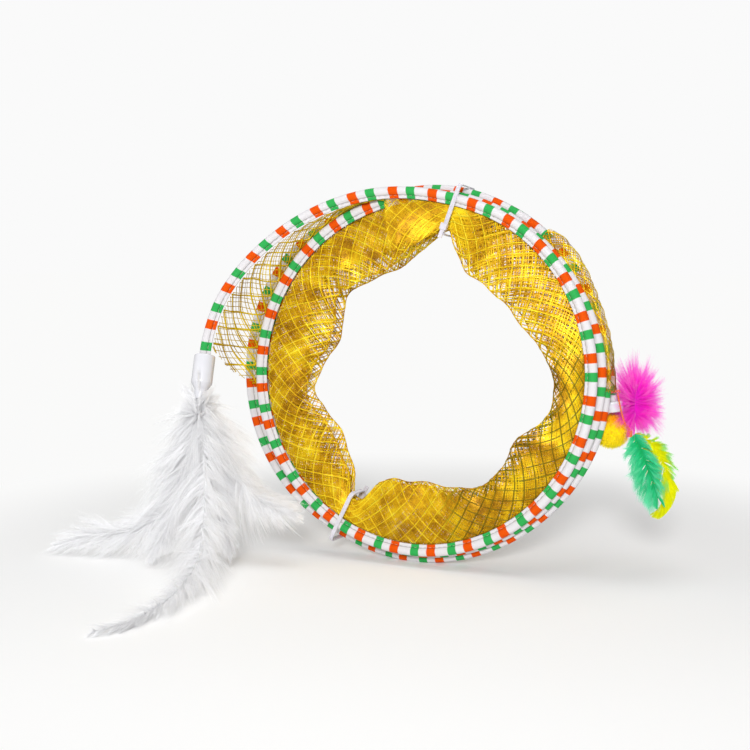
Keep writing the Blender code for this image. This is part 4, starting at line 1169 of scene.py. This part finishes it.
# Rear socket. A short cap of the same white plastic over the rear end of the binding.
REAR_SOCKET_LENGTH = 0.0067
rear_way = wire_way(REAR_END_TURN, -0.01)
REAR_SOCKET_TOP = coil_spot(REAR_END_TURN) - SOCKET_OVER_END * rear_way
profile = [
    (0.0, -0.0054), (0.0048, -0.0054), (0.0048, -0.0003), (0.0051, 0.0), (0.0062, 0.0),
    (0.0065, -0.0001), (0.0067, -0.0004), (0.00675, -0.0008), (0.00675, -0.0058),
    (0.0067, -0.0062), (0.0065, -0.0065), (0.0061, -0.0067), (0.0, -0.0067),
]
matrix = standing_on(REAR_SOCKET_TOP, rear_way)
cap = turned_piece("rear_socket_moulding", profile, gloss, matrix)
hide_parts("rear_socket")
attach(cap, "rear_end")


# Toy cord. Two-ply orange thread: a loop knotted round the binding above the socket, a short run
# down beside the ball, and the turns that bind the feathers.
CORD_RADIUS = 0.0006
CORD_LOOP_RADIUS = 0.0055
KNOT_CORD_RADIUS = 0.00045
KNOT_RADIUS = 0.0017
PLY_SIDES = 7
ORANGE_TONES = (0.70, 0.07, 0.004), (0.95, 0.24, 0.02)
ORANGE_SOCKETS = {"Roughness": 0.65, "Sheen Weight": 0.3}
cord_look = speckled("twisted_orange_thread", 1800.0, *ORANGE_TONES, ORANGE_SOCKETS)


def two_ply(name, path, radius, twist_length=0.0030):
    """Two strands twisted round each other along a path."""
    path = np.array(path, float)
    ahead = unit(np.gradient(path, axis=0))
    side = unit(np.cross(ahead, np.array((0.31, 0.55, 0.77))))
    up = np.cross(side, ahead)
    strands = []
    for ply in range(2):
        spin = length_along(path) / twist_length * 2 * math.pi + ply * math.pi
        beside = np.cos(spin)[:, None] * side + np.sin(spin)[:, None] * up
        centre = path + radius * 0.5 * beside
        strands.append(rings_round(centre, side, up, radius * 0.52, angles_round(PLY_SIDES)))
    quads = tube_quads(2, len(path), PLY_SIDES)
    made = mesh_piece(name, np.stack(strands), quads, cord_look)
    close_ends(made)
    return made


def wound(turns, radius, half_height, count):
    """Points of a few turns round an upright axis."""
    angles = np.linspace(0, 2 * math.pi * turns, count)
    heights = np.linspace(-half_height, half_height, count)
    return [
        Vector((radius * math.cos(a), radius * math.sin(a), z)) for a, z in zip(angles, heights)
    ]


loop_centre = coil_spot(REAR_END_TURN - 0.009 / RING_LENGTH)
loop_plane = standing_on(loop_centre, rear_way)
ring = [loop_plane @ point for point in wound(2, CORD_LOOP_RADIUS, 0.0006, 150)]
loop = two_ply("cord_loop_twisted", ring, CORD_RADIUS)
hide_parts("cord_loop")
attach(loop, "rear_end")

BALL_RADIUS = 0.011
UNDER_SOCKET = Vector((-0.0015, 0.0033, -BALL_RADIUS - 0.00137))
BALL_CENTRE = REAR_SOCKET_TOP + REAR_SOCKET_LENGTH * rear_way + UNDER_SOCKET
KNOT_DIRECTION = Vector((0.93, -0.30, -0.06)).normalized()
KNOT = BALL_CENTRE + KNOT_DIRECTION * (BALL_RADIUS + 0.0003 + KNOT_RADIUS)
LOOP_SIDE = Vector((0.75, -0.66, 0)).normalized()
off_ball = BALL_RADIUS + 0.0015
route = (
    loop_centre + LOOP_SIDE * (CORD_LOOP_RADIUS + 0.0012 + 0.0003),
    REAR_SOCKET_TOP + 0.00335 * rear_way + LOOP_SIDE * 0.00825,
    BALL_CENTRE + off_ball * Vector((0.80, -0.48, 0.48)).normalized(),
    BALL_CENTRE + off_ball * Vector((0.90, -0.38, 0.30)).normalized(),
    KNOT + Vector((0, 0, 0.0026)),
)
cord = two_ply("toy_cord_twisted", curve_through(route, 90), CORD_RADIUS)
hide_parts("toy_cord")
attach(cord, "toy")
turns_round = [KNOT + point for point in wound(5, 0.00125, 0.0021, 220)]
knot = two_ply("feather_binding_turns", turns_round, KNOT_CORD_RADIUS, 0.0022)
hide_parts("feather_binding")
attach(knot, "toy")


# Plush ball. A yellow pompon of short soft pile round a core, darker and more orange near the top.
CORE_INSIDE_BALL = 0.0012
PILE_ROOT_INSIDE_BALL = 0.0016
TUFTS = 6500
PILE_STATIONS = 4
plush, tree, shader = new_material(
    "yellow_pile", {"Roughness": 0.9, "Sheen Weight": 0.1, "Specular IOR Level": 0.1}
)
place = object_place(tree)
height = put(tree, "SeparateXYZ", {0: place}).outputs["Z"]
height = math_node(tree, "SUBTRACT", height, BALL_CENTRE.z - BALL_RADIUS)
height = math_node(tree, "DIVIDE", height, 2 * BALL_RADIUS)
tufted = wander(tree, noise(tree, place, Scale=330.0, Detail=4.0), 0.6)
height = math_node(tree, "ADD", height, tufted, clamp=True)
low, middle, high = (0.93, 0.80, 0.01), (1.0, 0.76, 0.005), (1.0, 0.40, 0.0)
tone = tones(tree, height, (0.0, low), (0.6, middle), (1.0, high))
fill(tree, shader, {"Base Color": tone})
deselect_all()
bpy.ops.mesh.primitive_ico_sphere_add(
    subdivisions=5, radius=BALL_RADIUS - CORE_INSIDE_BALL, location=BALL_CENTRE
)
core = bpy.context.object
core.name = "toy_ball_core"
core.data.transform(Matrix.Translation(BALL_CENTRE))
core.location = (0, 0, 0)
for vertex in core.data.vertices:
    out = (vertex.co - BALL_CENTRE).normalized()
    bump = math.sin(out.x * 31 + 2) * math.sin(out.y * 29) * math.sin(out.z * 33 + 1)
    vertex.co += out * 0.0006 * bump
core.data.materials.append(plush)
bpy.ops.object.shade_smooth()
rng = np.random.default_rng(5)
out = unit(rng.normal(0, 1, (TUFTS, 3)))
lean = unit(out + rng.normal(0, 0.38, (TUFTS, 3)) + np.array((0, 0, -0.25)))
t = np.linspace(0, 1, PILE_STATIONS)
reach = rng.uniform(0.0016, 0.0030, (TUFTS, 1, 1))
root = np.array(BALL_CENTRE) + out[:, None, :] * (BALL_RADIUS - PILE_ROOT_INSIDE_BALL)
path = root + lean[:, None, :] * reach * t[None, :, None]
side = unit(np.cross(lean, rng.normal(0, 1, (TUFTS, 3))))[:, None, :]
pile = ribbons("toy_ball_pile", path, side, 0.00030 * (1 - 0.8 * t)[None, :, None], plush)
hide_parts("toy_ball")
for piece in (core, pile):
    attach(piece, "toy")


# Toy feathers. Dyed down and cock feathers bound at the knot: a round pink puff above, a soft green
# one and a slimmer curved yellow one below.
pink_barbs = barb_finish(
    "pink_down", (1.0, 0.014, 0.86), (1.0, 0.035, 0.80), (1.0, 0.30, 0.80), 0.6, 0.55, 0.05
)
green_barbs = barb_finish(
    "green_down", (0.01, 0.62, 0.20), (0.05, 0.78, 0.38), (0.25, 0.90, 0.60), 0.3, 0.45, 0.15
)
yellow_barbs = barb_finish(
    "yellow_vane", (0.98, 0.95, 0.0), (0.84, 0.88, 0.0), (0.34, 0.86, 0.28), 0.2, 0.45, 0.15
)
FEATHERS = (
    # node, finish, length, longest barb, barbs, facing, spine in shares of the length, barb lengths
    # along it, slants at the root and the tip, start, how loose, how far wisps stray, wisps,
    # the other side's share, share from which the vane is smooth, slot
    ("feather_pink", pink_barbs, 0.034, 0.0188, 9500, (0.39, -1, 0),
     ((0, 0, 0), (-0.02, 0.16, 0.14), (-0.04, 0.28, 0.38), (-0.04, 0.29, 0.58),
      (-0.04, 0.29, 0.75)),
     ((0, 0.3), (0.45, 0.62), (0.62, 0.95), (1, 1.0)),
     (172, 3), 0.46, 0.55, 8, 230, 1.0, 1.1, "pink_feather"),
    ("feather_green", green_barbs, 0.046, 0.0185, 6500, (0.2, -1, 0),
     ((0, 0, 0), (0.10, -0.03, -0.22), (0.22, -0.04, -0.50), (0.34, -0.04, -0.84)),
     ((0, 0.5), (0.25, 0.9), (0.6, 0.95), (0.85, 0.6), (1, 0.3)),
     (68, 20), 0.0, 0.30, 10, 60, 0.6, 0.9, "green_feather"),
    ("feather_yellow", yellow_barbs, 0.062, 0.0205, 6500, (0.2, -1, 0),
     ((0, 0, 0), (0.19, 0.02, -0.12), (0.31, 0.03, -0.35), (0.345, 0.03, -0.50),
      (0.335, 0.03, -0.62), (0.285, 0.02, -0.73), (0.20, 0.02, -0.81)),
     ((0, 0.4), (0.2, 0.85), (0.42, 1.0), (0.52, 0.60), (0.60, 0.34), (0.88, 0.34), (1, 0.10)),
     (60, 16), 0.0, 0.16, 9, 60, 0.45, 0.52, "yellow_feather"),
)
BESIDE_KNOT = Vector((KNOT_RADIUS + 0.0003 + 0.0009, 0, 0))
for k, row in enumerate(FEATHERS):
    node, look, length, longest, barbs, facing, shares, outline, slants, start = row[:10]
    fluff, wild, wisps, other, smooth, slot = row[10:]
    step = Vector((0, (k - 1) * 0.00165, 0))
    knots = [KNOT + BESIDE_KNOT + step + length * Vector(point) for point in shares]
    spine = curve_through(knots, 50)
    rng = np.random.default_rng(30 + k)
    vane, shaft = feather(
        node, spine, facing, longest, barbs, look, look, rng, outline, slants, start,
        thickness=0.0002, fluff=fluff, droop=0.12, wisps=wisps, wild=wild, cling=0.45,
        other_side=other, smooth_from=smooth,
    )
    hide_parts(node)
    for piece in (vane, shaft):
        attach(piece, "toy")
